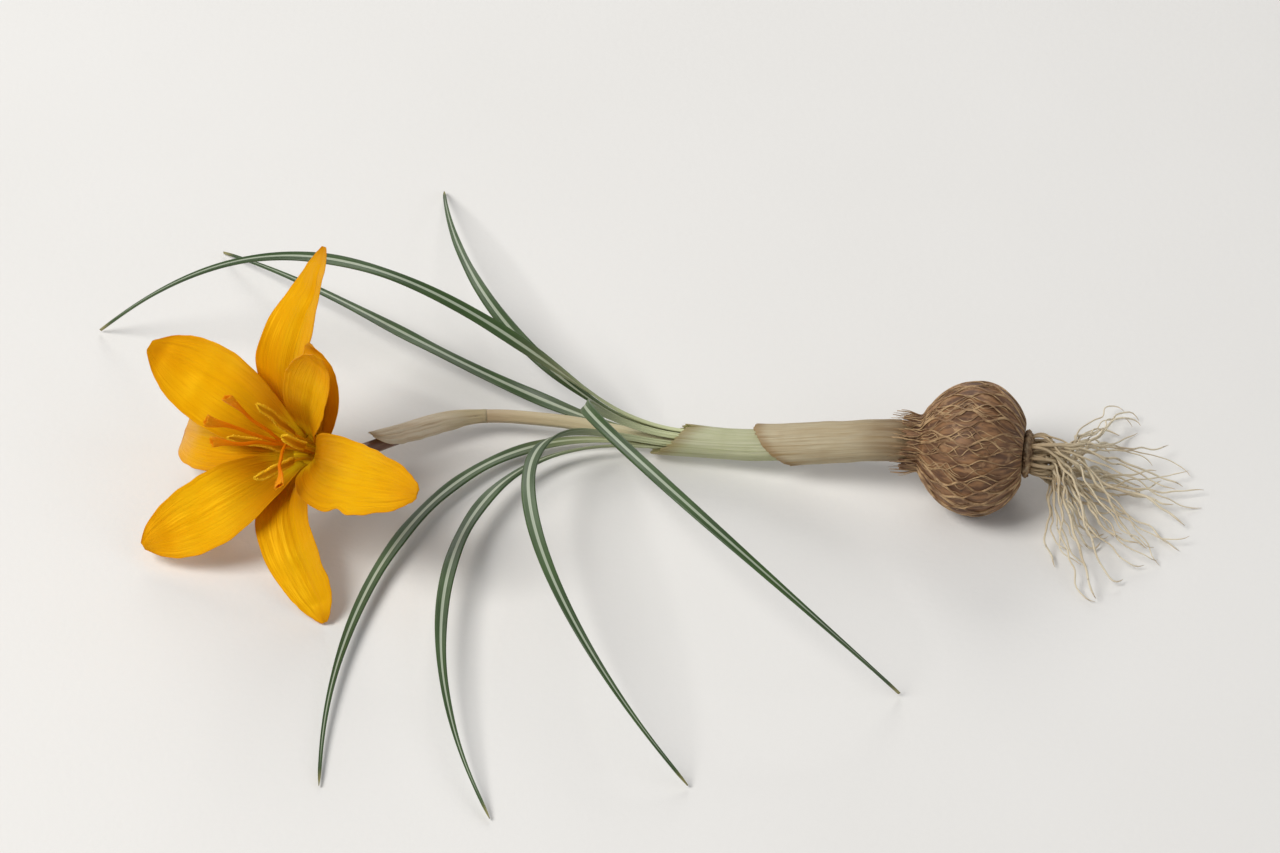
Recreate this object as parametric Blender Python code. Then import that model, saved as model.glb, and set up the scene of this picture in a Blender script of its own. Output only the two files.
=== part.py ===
"""A yellow crocus with its bulb, lifted and laid on a surface.

Lengths are in millimetres until solid() writes them in metres. The origin is the middle of the small flat
spot on the side of the bulb, X runs from the flower to the roots, and Z is up.
"""

import math

import bmesh
import bpy
import numpy as np

MM = 0.001
GAP = 0.3  # clearance between pieces that touch
LIFT = 0.05  # how far the lowest tepal stays above the surface
UP = np.array([0.0, 0.0, 1.0])

# The bulb: a flattened corm in a netted coat, lying on its side
CORM_RADIUS = 11.0
CORM_SINK = 0.4  # how much the flat spot takes off the radius
CORM_BACK = 8.6  # half the length that the round back would have without its flat base
CORM_BASE = 7.6  # from the widest place back to the flat base
CORM_FRONT = 10.0  # half the length of the round front
CORM_SHOULDER = 8.2  # from the widest place forward to where the crown begins
CORM_SEAT = 8.1  # from the widest place forward to the seat of the shoot
CORM_PIT = 0.6  # radius of the closing loops in the seat and the base
CORM_HEADING = 172.0  # degrees, the way the shoot leaves
CORM_CENTRE = np.array([0.0, 0.0, CORM_RADIUS - CORM_SINK])
NET_FIBRES = 16
NET_RELIEF = 0.35
NET_SWAY = 0.19  # radians, how far the fibres of the net wander
NET_WAVE = 0.75  # radians of their waves for each millimetre
CROWN_INNER = 3.95
CROWN_OUTER = 4.6
CROWN_LENGTH = 6.5
CROWN_TATTER = 4.0  # how deep the gaps between its teeth are

# The roots, from a disc under the bulb
ROOT_COUNT = 16
ROOT_RADIUS = 0.5
ROOT_TIP_SHARE = 0.55  # of the radius, at the tip
ROOT_RING = 2.7  # radius of the ring that the roots grow from
ROOT_REACH = (17.0, 34.0)
ROOT_FAN = (40.0, 70.0)  # degrees, how far the outer roots spread
ROOT_REST = 0.45  # height of the lowest roots' middles
ROOT_TIER = 1.0  # between one layer of roots and the next
ROOT_DISC = [(0.0, 3.0), (0.3, 4.2), (1.4, 3.4)]  # distance behind the base, radius

# The shoot: the flower tube in the middle, a ring of leaves round it and two sheaths round those
TUBE_RADIUS = 1.1
TUBE_TOP_RADIUS = 3.85
TUBE_FLARE = 13.0
TUBE_BEND = 8.0  # how far below the throat the tube is in line with the flower
WELL_RADIUS = 2.05
WELL_DEPTH = 1.6
BRACT_START = 36.0  # below the throat
BRACT_LENGTH = 21.0
BRACT_WRAP = 133.0  # degrees round the tube to each side at its foot
BRACT_FLARE = 0.9
BRACT_SIDE = 75.0
LEAF_RING = 1.65
SHEATH_WALL = 0.5
INNER_SHEATH_RADIUS = 2.25
INNER_SHEATH_LENGTH = 47.0
OUTER_SHEATH_RADIUS = 3.05
OUTER_SHEATH_LENGTH = 29.0
SHEATH_SLANT = 6.0
SHOOT_ROUTE = [  # beyond the bulb, down to the surface and along it
    (-22.0, 3.4, 9.0),
    (-37.0, 6.4, 5.4),
    (-54.0, 10.2, 3.7),
    (-70.0, 13.4, 4.4),
    (-85.0, 14.0, 4.3),
]

# The flower, facing up and towards -X and -Y
FLOWER_PLACE = (-110.0, -1.5)
FLOWER_HEADING = 223.9
FLOWER_TILT = 43.6
INNER_RING = 2.45
OUTER_RING = 3.35
BLADE_THICK = 0.6
BEND_SPREAD = 15  # steps of the rib to each side that a bend is spread over
RIB_STEPS = 120
CLAW_SHARE = 0.66  # half width of a claw as a share of its ring
TIP_SHARPNESS = 2.3
TIP_FULLNESS = 0.72
TIP_CUT = 0.985  # a tepal stops here, just short of a sharp point

# Each tepal: ring, azimuth at its base and at its tip (clockwise from the top, seen from the front), how far
# it opens from the flower's axis at its base, middle and tip, its length, half width, the place of the widest
# point, the radius of its channel, the twist at its tip and how slowly it widens from its claw
TEPALS = {
    "tepal_inner_1": (INNER_RING, 282, 274, (24, 72, 60), 30.0, 7.2, 0.48, 12, 0, 0.6),
    "tepal_inner_2": (INNER_RING, 10, 18, (20, 52, 44), 25.2, 5.6, 0.50, 8, -20, 0.75),
    "tepal_inner_3": (INNER_RING, 91, 76, (24, 82, 92), 32.8, 6.5, 0.44, 14, 0, 0.8),
    "tepal_inner_4": (INNER_RING, 174, 198, (24, 76, 64), 30.2, 7.0, 0.50, 12, 0, 0.65),
    "tepal_outer_1": (OUTER_RING, 323, 341.5, (30, 88, 84), 32.5, 6.2, 0.42, 10, 24, 0.7),
    "tepal_outer_2": (OUTER_RING, 38, 3, (30, 57, 35), 21.4, 4.1, 0.56, 11, 0, 1.3),
    "tepal_outer_3": (OUTER_RING, 151, 131, (30, 96, 100), 29.9, 5.4, 0.45, 10, 0, 0.7),
    "tepal_outer_4": (OUTER_RING, 238, 247, (30, 96, 145), 26.6, 5.8, 0.52, 12, 0, 0.7),
}

# Each leaf: the corner of the ring it grows from, its tip on the surface and how high it arches
LEAVES = {
    "leaf_1": (-90.0, (-106.0, -66.0), 3.0),
    "leaf_2": (-38.6, (-128.0, 60.0), 12.0),
    "leaf_3": (12.9, (-90.0, 76.0), 14.0),
    "leaf_4": (64.3, (-148.0, 40.0), 44.0),
    "leaf_5": (115.7, (-14.0, -46.0), 40.0),
    "leaf_6": (167.1, (-48.0, -66.0), 28.0),
    "leaf_7": (218.6, (-79.0, -73.0), 10.0),
}
LEAF_HALF = 1.15
LEAF_HALF_IN_SHEATH = 0.56
LEAF_EXIT = 50.0  # along the shoot
LEAF_HANDLE = 0.38  # of the way to the tip, how long the arc's handles are
LEAF_SPLAY = 0.22
LEAF_TAPER = 0.62  # of the length, where the taper to the tip begins
LEAF_EDGE = 0.3  # above the middle of the leaf
LEAF_CHANNEL = 0.16
LEAF_UNDERSIDE = -0.26
LEAF_KEEL = -0.4
LEAF_REST = 0.5  # height of the tip's middle

# Each stamen: azimuth and radius of its tip, and its height
STAMENS = {
    "stamen_1": (331.0, 5.1, 16.0),
    "stamen_2": (62.0, 5.4, 15.5),
    "stamen_3": (146.0, 7.0, 15.0),
    "stamen_4": (236.0, 5.2, 16.0),
}
STAMEN_RING = 1.35
FILAMENT = [(0.35, 0.35)] * 5 + [(0.3, 0.3)]  # half widths and half thicknesses
ANTHER = [(0.5, 0.34), (0.72, 0.42)] + [(0.78, 0.45)] * 4 + [(0.62, 0.4), (0.3, 0.25)]
STYLE_FORK = 7.0
STYLE_STEM = [(0.5, 0.5)] * 5 + [(0.6, 0.6)]
STYLE_BRANCH = [(0.36, 0.36)] * 3 + [(0.4, 0.38), (0.45, 0.38), (0.55, 0.38), (0.75, 0.38)]
STYLE_BRANCH += [(1.1, 0.36), (1.0, 0.3)]
STYLE_BRANCHES = [(312.0, 5.6, 21.5), (262.0, 4.8, 22.5), (214.0, 4.6, 21.0), (116.0, 9.6, 14.5)]

COLOURS = {
    "corm": (0.19, 0.10, 0.045, 0.75),
    "roots": (0.62, 0.50, 0.32, 0.7),
    "sheath": (0.74, 0.72, 0.52, 0.5),
    "tube": (0.42, 0.30, 0.20, 0.5),
    "bract": (0.50, 0.33, 0.15, 0.7),
    "leaf": (0.06, 0.14, 0.07, 0.45),
    "tepal": (0.90, 0.50, 0.02, 0.4),
    "stamen": (0.88, 0.52, 0.06, 0.6),
    "style": (0.85, 0.26, 0.02, 0.5),
}


def unit(vector):
    """The vector at length 1."""
    return vector / np.linalg.norm(vector)


def ease(value):
    """0 to 1 with level ends."""
    value = np.clip(value, 0.0, 1.0)
    return value * value * (3.0 - 2.0 * value)


def heading(degrees):
    """The level direction at an angle from +X."""
    return np.array([math.cos(math.radians(degrees)), math.sin(math.radians(degrees)), 0.0])


def evenly(points, count):
    """Points at equal steps along a polyline."""
    points = np.asarray(points, float)
    lengths = np.r_[0.0, np.cumsum(np.linalg.norm(np.diff(points, axis=0), axis=1))]
    steps = np.linspace(0.0, lengths[-1], count)
    return np.stack([np.interp(steps, lengths, points[:, axis]) for axis in range(3)], 1), lengths[-1]


def bezier(a, b, c, d, count=80):
    """Points along a cubic curve with its two handles."""
    t = np.linspace(0.0, 1.0, count)[:, None]
    return (1 - t) ** 3 * a + 3 * (1 - t) ** 2 * t * b + 3 * (1 - t) * t**2 * c + t**3 * d


def through(points, start, end):
    """A smooth curve through points that sets off along start and arrives along end."""
    points = np.asarray(points, float)
    chords = np.linalg.norm(np.diff(points, axis=0), axis=1)
    tangents = [start] + [unit(points[i + 1] - points[i - 1]) for i in range(1, len(points) - 1)] + [end]
    runs = []
    for i, reach in enumerate(chords / 3.0):
        here, there = points[i], points[i + 1]
        runs.append(bezier(here, here + tangents[i] * reach, there - tangents[i + 1] * reach, there))
    return np.concatenate([runs[0]] + [run[1:] for run in runs[1:]])


def carried(path, top):
    """Tangent, side and top at each point of a path, with the top carried along without twisting."""
    tangents = np.gradient(path, axis=0)
    tangents /= np.linalg.norm(tangents, axis=1)[:, None]
    tops = []
    for tangent in tangents:
        top = unit(top - tangent * (top @ tangent))
        tops.append(top)
    tops = np.array(tops)
    return tangents, np.cross(tangents, tops), tops


def solid(name, points, faces, look):
    """A closed mesh from points in millimetres, as one object with its own material."""
    mesh = bpy.data.meshes.new(name)
    mesh.from_pydata([tuple(point) for point in np.asarray(points) * MM], [], faces)
    shape = bmesh.new()
    shape.from_mesh(mesh)
    bmesh.ops.recalc_face_normals(shape, faces=shape.faces)
    shape.to_mesh(mesh)
    shape.free()
    mesh.shade_smooth()
    mesh.set_sharp_from_angle(angle=math.radians(50))
    *colour, roughness = COLOURS[look]
    material = bpy.data.materials.new(name)
    material.use_nodes = True
    surface = material.node_tree.nodes["Principled BSDF"]
    surface.inputs["Base Color"].default_value = (*colour, 1.0)
    surface.inputs["Roughness"].default_value = roughness
    surface.inputs["Metallic"].default_value = 0.0
    mesh.materials.append(material)
    piece = bpy.data.objects.new(name, mesh)
    bpy.context.scene.collection.objects.link(piece)
    return piece


def turned(across, facing, angle):
    """Two crossing directions, turned about the third."""
    return across * np.cos(angle) + facing * np.sin(angle), facing * np.cos(angle) - across * np.sin(angle)


def grid_faces(rows, columns, closed=True):
    """Quads between neighbouring rows of points, round each row if closed."""
    faces = []
    for row in range(rows - 1):
        low, high = row * columns, (row + 1) * columns
        for here in range(columns if closed else columns - 1):
            there = (here + 1) % columns
            faces.append((low + here, low + there, high + there, high + here))
    return faces


def grid_normals(grid):
    """The normals of a grid of points."""
    normal = np.cross(np.gradient(grid, axis=0), np.gradient(grid, axis=1))
    return normal / np.linalg.norm(normal, axis=2)[..., None]


def ring_round(angles, first, second):
    """Directions at angles between two crossing directions."""
    return np.cos(angles)[:, None] * first + np.sin(angles)[:, None] * second


def loft(name, rings, look):
    """A solid through a list of loops with the same number of points, capped at both ends."""
    rings = np.asarray(rings)
    rows, columns = rings.shape[:2]
    first = tuple(range(columns))
    last = tuple(range((rows - 1) * columns, rows * columns))
    return solid(name, rings.reshape(-1, 3), grid_faces(rows, columns) + [first[::-1], last], look)


def sleeve(name, outer, inner, look):
    """A solid between an outer and an inner skin of loops, open at both ends."""
    rings = np.concatenate([outer, inner[::-1], outer[:1]])
    rows, columns = rings.shape[:2]
    faces = [tuple(i % ((rows - 1) * columns) for i in face) for face in grid_faces(rows, columns)]
    return solid(name, rings[:-1].reshape(-1, 3), faces, look)


def blade(name, middle, normal, thick, look):
    """A thin solid on both sides of a grid of points, split into triangles alike on both faces."""
    rows, columns = middle.shape[:2]
    count = rows * columns
    half = normal * thick / 2
    points = np.concatenate([(middle + half).reshape(-1, 3), (middle - half).reshape(-1, 3)])
    faces = []
    for a, b, c, d in grid_faces(rows, columns, closed=False):
        faces += [(a, b, c), (a, c, d), (a + count, c + count, b + count), (a + count, d + count, c + count)]
    rim = list(range(columns))
    rim += [r * columns + columns - 1 for r in range(1, rows)]
    rim += [(rows - 1) * columns + c for c in range(columns - 2, -1, -1)]
    rim += [r * columns for r in range(rows - 2, 0, -1)]
    for a, b in zip(rim, rim[1:] + rim[:1]):
        faces += [(a, a + count, b + count), (a, b + count, b)]
    return solid(name, points, faces, look)


def union(name, pieces):
    """Joins pieces into the first one, as one closed body."""
    group = bpy.data.collections.new(name + "_parts")
    bpy.context.scene.collection.children.link(group)
    body, *others = pieces
    for piece in others:
        group.objects.link(piece)
    joining = body.modifiers.new("join", "BOOLEAN")
    joining.operation = "UNION"
    joining.operand_type = "COLLECTION"
    joining.collection = group
    joining.solver = "EXACT"
    bpy.context.view_layer.update()
    joined = bpy.data.meshes.new_from_object(body.evaluated_get(bpy.context.evaluated_depsgraph_get()))
    body.modifiers.clear()
    body.data = joined
    body.name = name
    for piece in others:
        bpy.data.objects.remove(piece, do_unlink=True)
    bpy.data.collections.remove(group)
    return body


def flower_axes():
    """The flower's axis, the direction of its top and the direction of its right as seen from the front."""
    level = heading(FLOWER_HEADING)
    tilt = math.radians(FLOWER_TILT)
    axis = level * math.cos(tilt) + UP * math.sin(tilt)
    top = UP * math.cos(tilt) - level * math.sin(tilt)
    return axis, top, np.cross(top, axis)


AXIS, TOP, RIGHT = flower_axes()


def clock(degrees):
    """The direction across the flower at a clockwise angle from its top."""
    angle = np.radians(degrees)
    return np.multiply.outer(np.cos(angle), TOP) + np.multiply.outer(np.sin(angle), RIGHT)


def tepal_width(along, claw, widest, place, slow):
    """Half the width of a tepal at a fraction of its length: a claw, a swell and a rounded point."""
    swell = claw + (widest - claw) * ease(along / place) ** slow
    closing = np.clip((along - place) / (1.0 - place), 0.0, 1.0)
    return np.where(along < place, swell, widest * (1.0 - closing**TIP_SHARPNESS) ** TIP_FULLNESS)


def tepal_rib(ring, base, tip, opening, length):
    """The middle line of a tepal and its distance from the flower's axis."""
    along = np.linspace(0.0, 1.0, RIB_STEPS + 1)
    angle = np.radians(np.interp(along, (0, 0.5, 1), opening))
    window = 2 * BEND_SPREAD + 1
    angle = np.convolve(np.pad(angle, BEND_SPREAD, mode="edge"), np.ones(window) / window, mode="valid")
    step = length / RIB_STEPS
    spread = ring + np.r_[0.0, np.cumsum(np.sin(angle[1:]) * step)]
    rise = GAP + 0.1 + np.r_[0.0, np.cumsum(np.cos(angle[1:]) * step)]
    azimuth = base + (tip - base) * ease(along) ** 0.8
    return along, clock(azimuth) * spread[:, None] + AXIS * rise[:, None], spread


def tepal_grid(ring, base, tip, opening, length, widest, place, channel, twist, slow, rows=15, columns=7):
    """The middle surface of a tepal and its normals, measured from the middle of the throat."""
    along, rib, spread = tepal_rib(ring, base, tip, opening, length)
    tangent = np.gradient(rib, axis=0)
    picks = np.linspace(0.0, TIP_CUT, rows)
    rib = np.stack([np.interp(picks, along, rib[:, axis]) for axis in range(3)], 1)
    tangent = np.stack([np.interp(picks, along, tangent[:, axis]) for axis in range(3)], 1)
    tangent /= np.linalg.norm(tangent, axis=1)[:, None]
    across = np.cross(tangent, AXIS)
    across /= np.linalg.norm(across, axis=1)[:, None]
    facing = np.cross(across, tangent)
    facing *= np.sign(facing @ AXIS)[:, None]
    across, facing = turned(across, facing, math.radians(twist) * ease(picks)[:, None])
    cup = 0.8 * np.interp(picks, along, spread) + GAP
    radius = np.minimum(channel, cup)[:, None]
    half = tepal_width(picks, ring * CLAW_SHARE, widest, place, slow)
    arc = np.linspace(-1.0, 1.0, columns)[None, :] * half[:, None] / radius
    grid = rib[:, None] + (radius * np.sin(arc))[..., None] * across[:, None]
    grid = grid + (radius * (1.0 - np.cos(arc)))[..., None] * facing[:, None]
    normal = grid_normals(grid)
    normal *= np.sign((normal * facing[:, None]).sum(2))[..., None]
    return grid, normal


def flower_middle():
    """The middle of the throat, as high as lets the lowest tepal just touch the surface."""
    lowest = min(
        (grid - np.abs(normal) * BLADE_THICK / 2)[..., 2].min()
        for grid, normal in (tepal_grid(*shape) for shape in TEPALS.values())
    )
    return np.array([*FLOWER_PLACE, LIFT - lowest])


THROAT = flower_middle()


def shoot_path():
    """Points, tangents, sides and tops along the middle of the shoot, from the bulb's seat to the throat."""
    away = heading(CORM_HEADING)
    seat = CORM_CENTRE + away * (CORM_SEAT + GAP)
    before = THROAT - AXIS * TUBE_BEND
    route = through([seat, seat + away * CROWN_LENGTH, *np.array(SHOOT_ROUTE), before, THROAT], away, AXIS)
    path, length = evenly(route, 320)
    return (path, *carried(path, UP), length)


PATH, TANGENTS, SIDES, TOPS, SHOOT_LENGTH = shoot_path()


def along_shoot(distance):
    """Place, tangent, side and top at a distance along the shoot."""
    at = np.clip(distance / SHOOT_LENGTH, 0.0, 1.0) * (len(PATH) - 1)
    low = min(int(at), len(PATH) - 2)
    part = at - low
    return [rows[low] * (1 - part) + rows[low + 1] * part for rows in (PATH, TANGENTS, SIDES, TOPS)]


def shoot_ring(distance, radius, sides):
    """A loop round the shoot. distance and radius may change round the loop."""
    angles = np.linspace(0.0, 2 * math.pi, sides, endpoint=False)
    distances, radii = np.broadcast_to(distance, sides), np.broadcast_to(radius, sides)
    loop = []
    for angle, way, r in zip(angles, distances, radii):
        place, _, side, top = along_shoot(way)
        loop.append(place + r * (math.cos(angle) * side + math.sin(angle) * top))
    return np.array(loop)


def corm_profile():
    """Distances from the widest place, and radii: round back and front, crown, then the seat inside."""
    crown = CORM_SEAT + CROWN_LENGTH
    back = [(CORM_BACK, angle) for angle in np.linspace(-math.asin(CORM_BASE / CORM_BACK), 0.0, 6)]
    front = [(CORM_FRONT, angle) for angle in np.linspace(0.0, math.asin(CORM_SHOULDER / CORM_FRONT), 6)[1:]]
    profile = [(-CORM_BASE, CORM_PIT)]
    profile += [(reach * math.sin(angle), CORM_RADIUS * math.cos(angle)) for reach, angle in back + front]
    profile += [(CORM_SHOULDER + 1.4, CROWN_OUTER + 0.2), (crown, CROWN_OUTER)]
    return profile + [(crown, CROWN_INNER), (CORM_SEAT, CROWN_INNER), (CORM_SEAT, CORM_PIT)]


def make_corm():
    """The bulb in its netted coat, with the crown of old fibres round the foot of the shoot."""
    columns = NET_FIBRES * 3
    away = heading(CORM_HEADING)
    angles = np.linspace(0.0, 2 * math.pi, columns, endpoint=False)
    out = ring_round(angles, np.cross(away, UP), UP)
    teeth = np.random.default_rng(5).uniform(0.35, 1.0, NET_FIBRES)
    tooth = (0.5 + 0.5 * np.cos(angles * NET_FIBRES)) * np.repeat(teeth, 3)
    rings = []
    for distance, radius in corm_profile():
        sway = NET_SWAY * math.sin(distance * NET_WAVE)
        fibres = [np.cos(NET_FIBRES / 2 * (angles + side * sway)) for side in (-1, 1)]
        relief = NET_RELIEF * np.clip(np.maximum(*fibres), 0, 1) ** 2 * (radius > CROWN_OUTER)
        torn = CROWN_TATTER * (1 - tooth) * (distance > CORM_SEAT + CROWN_LENGTH / 2)
        rings.append(CORM_CENTRE + (distance - torn)[:, None] * away + (radius + relief)[:, None] * out)
    rings = np.array(rings)
    rings[..., 2] = np.maximum(rings[..., 2], 0.0)
    return loft("corm", rings, "corm")


def root_route(number, base, away, side, draw):
    """One root's way from the disc, drooping to the surface behind the bulb."""
    angle = 2 * math.pi * (number + draw.uniform(-0.25, 0.25)) / ROOT_COUNT
    out = math.cos(angle) * side + math.sin(angle) * UP
    start = base - away * 0.7 + out * ROOT_RING
    fan = heading(CORM_HEADING + 180.0 - math.cos(angle) * draw.uniform(*ROOT_FAN))
    tip = CORM_CENTRE * (1, 1, 0) - away * CORM_BASE + fan * draw.uniform(*ROOT_REACH)
    tip = tip + UP * (ROOT_REST + ROOT_TIER * (number % 3))
    pull = -away * draw.uniform(5, 10) + out * 4.0
    bent = heading(CORM_HEADING + 180.0 + draw.uniform(-50, 50))
    path, _ = evenly(bezier(start, start + pull, tip - bent * 10.0 + UP * draw.uniform(0.0, 3.0), tip), 10)
    path[:, 2] = np.maximum(path[:, 2], ROOT_REST)
    return path


def make_roots():
    """The root disc and its roots."""
    away = heading(CORM_HEADING)
    side = np.cross(away, UP)
    base = CORM_CENTRE - away * (CORM_BASE + GAP)
    out = ring_round(np.linspace(0.0, 2 * math.pi, 20, endpoint=False), side, UP)
    disc = [base - away * distance + out * radius for distance, radius in ROOT_DISC]
    pieces = [loft("roots", disc, "roots")]
    draw = np.random.default_rng(11)
    turns = np.linspace(0.0, 2 * math.pi, 5, endpoint=False)
    for number in range(ROOT_COUNT):
        path = root_route(number, base, away, side, draw)
        _, sides, tops = carried(path, UP)
        radii = ROOT_RADIUS * np.linspace(1.0, ROOT_TIP_SHARE, len(path))
        rings = [place + r * ring_round(turns, s, t) for place, s, t, r in zip(path, sides, tops, radii)]
        pieces.append(loft(f"root_{number}", rings, "roots"))
    return union("roots", pieces)


def make_sheath(name, radius, length, turn):
    """A sleeve round the shoot, cut aslant at its mouth."""
    sides = 18
    angles = np.linspace(0.0, 2 * math.pi, sides, endpoint=False)
    short = SHEATH_SLANT * (0.5 - 0.5 * np.cos(angles - math.radians(turn)))
    reach = [d * (length - short) / length for d in np.linspace(0.0, length, 12)]
    outer = np.array([shoot_ring(d, radius + SHEATH_WALL, sides) for d in reach])
    inner = np.array([shoot_ring(d, radius, sides) for d in reach])
    return sleeve(name, outer, inner, "sheath")


def make_tube():
    """The flower tube, from the bulb to the throat, with the well that holds stamens and style."""
    sides = 16
    neck = SHOOT_LENGTH - TUBE_FLARE
    rings = []
    for distance in [*np.linspace(0.0, neck, 30), *np.linspace(neck, SHOOT_LENGTH, 8)[1:]]:
        flare = ease((distance - neck) / TUBE_FLARE) ** 1.3
        rings.append(shoot_ring(distance, TUBE_RADIUS + (TUBE_TOP_RADIUS - TUBE_RADIUS) * flare, sides))
    rings.append(shoot_ring(SHOOT_LENGTH, WELL_RADIUS, sides))
    rings.append(rings[-1] - AXIS * WELL_DEPTH)
    floor = THROAT - AXIS * WELL_DEPTH
    rings.append(floor + (rings[-1] - floor) * 0.25)
    return loft("flower_tube", rings, "tube")


def make_bract():
    """The withered bract that clasps the tube below the flower."""
    grid = []
    for part in np.linspace(0.0, 1.0, 12):
        place, _, side, top = along_shoot(SHOOT_LENGTH - BRACT_START + part * BRACT_LENGTH)
        wrap = BRACT_WRAP * (0.94 * (1.0 - part**2.2) ** 0.5 + 0.06)
        radius = TUBE_RADIUS + GAP + BLADE_THICK / 2 + BRACT_FLARE * part**2
        angles = np.radians(BRACT_SIDE + wrap * np.linspace(-1.0, 1.0, 9))
        grid.append(place + radius * ring_round(angles, side, top))
    grid = np.array(grid)
    return blade("bract", grid, grid_normals(grid), BLADE_THICK, "bract")


def leaf_route(corner, tip, arch):
    """Points along a leaf: straight in the sheath, then an even arc that rises and falls to its tip."""
    turn = math.radians(corner)
    inside = []
    for distance in np.linspace(0.0, LEAF_EXIT, 60):
        place, tangent, side, top = along_shoot(distance)
        outward = math.cos(turn) * side + math.sin(turn) * top
        inside.append(place + LEAF_RING * outward)
    start = inside[-1]
    end = np.array([*tip, LEAF_REST])
    chord = unit((end - start) * (1, 1, 0))
    mirrored = 2.0 * (chord @ tangent) * chord - tangent
    arriving = unit((chord + mirrored) * (1, 1, 0))
    handle = LEAF_HANDLE * np.linalg.norm(end - start)
    first = start + (tangent + outward * LEAF_SPLAY) * handle + UP * arch * 0.4
    first[2] = max(first[2], start[2])
    second = end - arriving * handle + UP * max(arch, 0.5)
    return np.concatenate([inside, bezier(start, first, second, end)[1:]])


def make_leaf(name, corner, tip, arch):
    """A narrow channelled leaf with a keel under its pale stripe."""
    route = leaf_route(corner, tip, arch)
    inside = np.linalg.norm(np.diff(route[:60], axis=0), axis=1).sum()
    path, length = evenly(route, 34)
    turn = math.radians(corner)
    _, _, side, top = along_shoot(0.0)
    _, sides, tops = carried(path, -(math.cos(turn) * side + math.sin(turn) * top))
    rings = []
    for number, (place, across, facing) in enumerate(zip(path, sides, tops)):
        distance = length * number / (len(path) - 1)
        free = ease((distance - inside) / 40.0)
        level = unit(UP - np.cross(across, facing) * (UP @ np.cross(across, facing)))
        roll = math.atan2(-(level @ across), level @ facing) * free
        across, facing = turned(across, facing, roll)
        grown = ease((distance - inside - 2.0) / 18.0)
        taper = 1.0 - 0.8 * ease((distance / length - LEAF_TAPER) / (1.0 - LEAF_TAPER))
        half = (LEAF_HALF_IN_SHEATH + (LEAF_HALF - LEAF_HALF_IN_SHEATH) * grown) * taper
        scale = 0.8 + 0.2 * grown * taper
        outline = [(-half, LEAF_EDGE), (0.0, LEAF_CHANNEL), (half, LEAF_EDGE)]
        outline += [(half, LEAF_UNDERSIDE), (0.0, LEAF_KEEL), (-half, LEAF_UNDERSIDE)]
        rings.append([place + across * x + facing * z * scale for x, z in outline])
    return loft(name, rings, "leaf")


def flower_rod(name, route, sizes, look, sides=8):
    """A solid along a route in the flower, with a half width and a half thickness at each of its points."""
    path, _ = evenly(route, len(sizes))
    _, across, facing = carried(path, unit(path[-1] - THROAT - AXIS * ((path[-1] - THROAT) @ AXIS)))
    angles = np.linspace(0.0, 2 * math.pi, sides, endpoint=False)
    rings = [
        place + np.cos(angles)[:, None] * a * half + np.sin(angles)[:, None] * f * thick
        for place, a, f, (half, thick) in zip(path, across, facing, sizes)
    ]
    return loft(name, rings, look)


def make_stamen(name, azimuth, radius, height):
    """A filament from the well with a long anther at its top."""
    out = clock(azimuth)
    foot = THROAT + out * STAMEN_RING - AXIS * (WELL_DEPTH - GAP)
    tip = THROAT + out * radius + AXIS * height
    route = bezier(foot, foot + AXIS * height * 0.4, tip - AXIS * height * 0.35 - out * radius * 0.2, tip)
    return flower_rod(name, route, FILAMENT + ANTHER, "stamen")


def make_style():
    """The style, with its branches flared at their tips."""
    foot = THROAT - AXIS * (WELL_DEPTH - GAP)
    fork = THROAT + AXIS * STYLE_FORK
    lean = RIGHT * 0.01
    stem = bezier(foot, foot + AXIS * 2, fork - AXIS * 2 + lean, fork + AXIS * 0.8 + lean)
    pieces = [flower_rod("style", stem, STYLE_STEM, "style")]
    for number, (azimuth, radius, height) in enumerate(STYLE_BRANCHES):
        out = clock(azimuth)
        tip = THROAT + out * radius + AXIS * height
        start = fork - AXIS * 0.6
        third = (tip - start) * 0.3
        route = bezier(start, start + third + AXIS * 1.5, tip - third + AXIS * 0.6, tip)
        pieces.append(flower_rod(f"branch_{number}", route, STYLE_BRANCH, "style"))
    return union("style", pieces)


def clear_scene():
    """Removes whatever the scene holds."""
    for old in list(bpy.data.objects):
        bpy.data.objects.remove(old, do_unlink=True)


def build():
    """Makes the whole plant."""
    clear_scene()
    make_corm()
    make_roots()
    make_sheath("sheath_outer", OUTER_SHEATH_RADIUS, OUTER_SHEATH_LENGTH, 70.0)
    make_sheath("sheath_inner", INNER_SHEATH_RADIUS, INNER_SHEATH_LENGTH, 250.0)
    make_tube()
    make_bract()
    for name, shape in LEAVES.items():
        make_leaf(name, *shape)
    for name, shape in TEPALS.items():
        grid, normal = tepal_grid(*shape)
        blade(name, grid + THROAT, normal, BLADE_THICK, "tepal")
    for name, shape in STAMENS.items():
        make_stamen(name, *shape)
    make_style()


build()
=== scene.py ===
# %% [markdown]
# # A crocus with its bulb
#
# One yellow crocus, lifted from the soil and laid on a pale table: an open flower, narrow striped leaves,
# papery sheaths, a netted bulb and its roots. The solids of the frame give every piece its place and size.
# Here each of them is replaced by a finer surface with the same form, and gets its finish.

# %% The frame, and the box that the whole plant has to stay in
import itertools
import math

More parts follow.
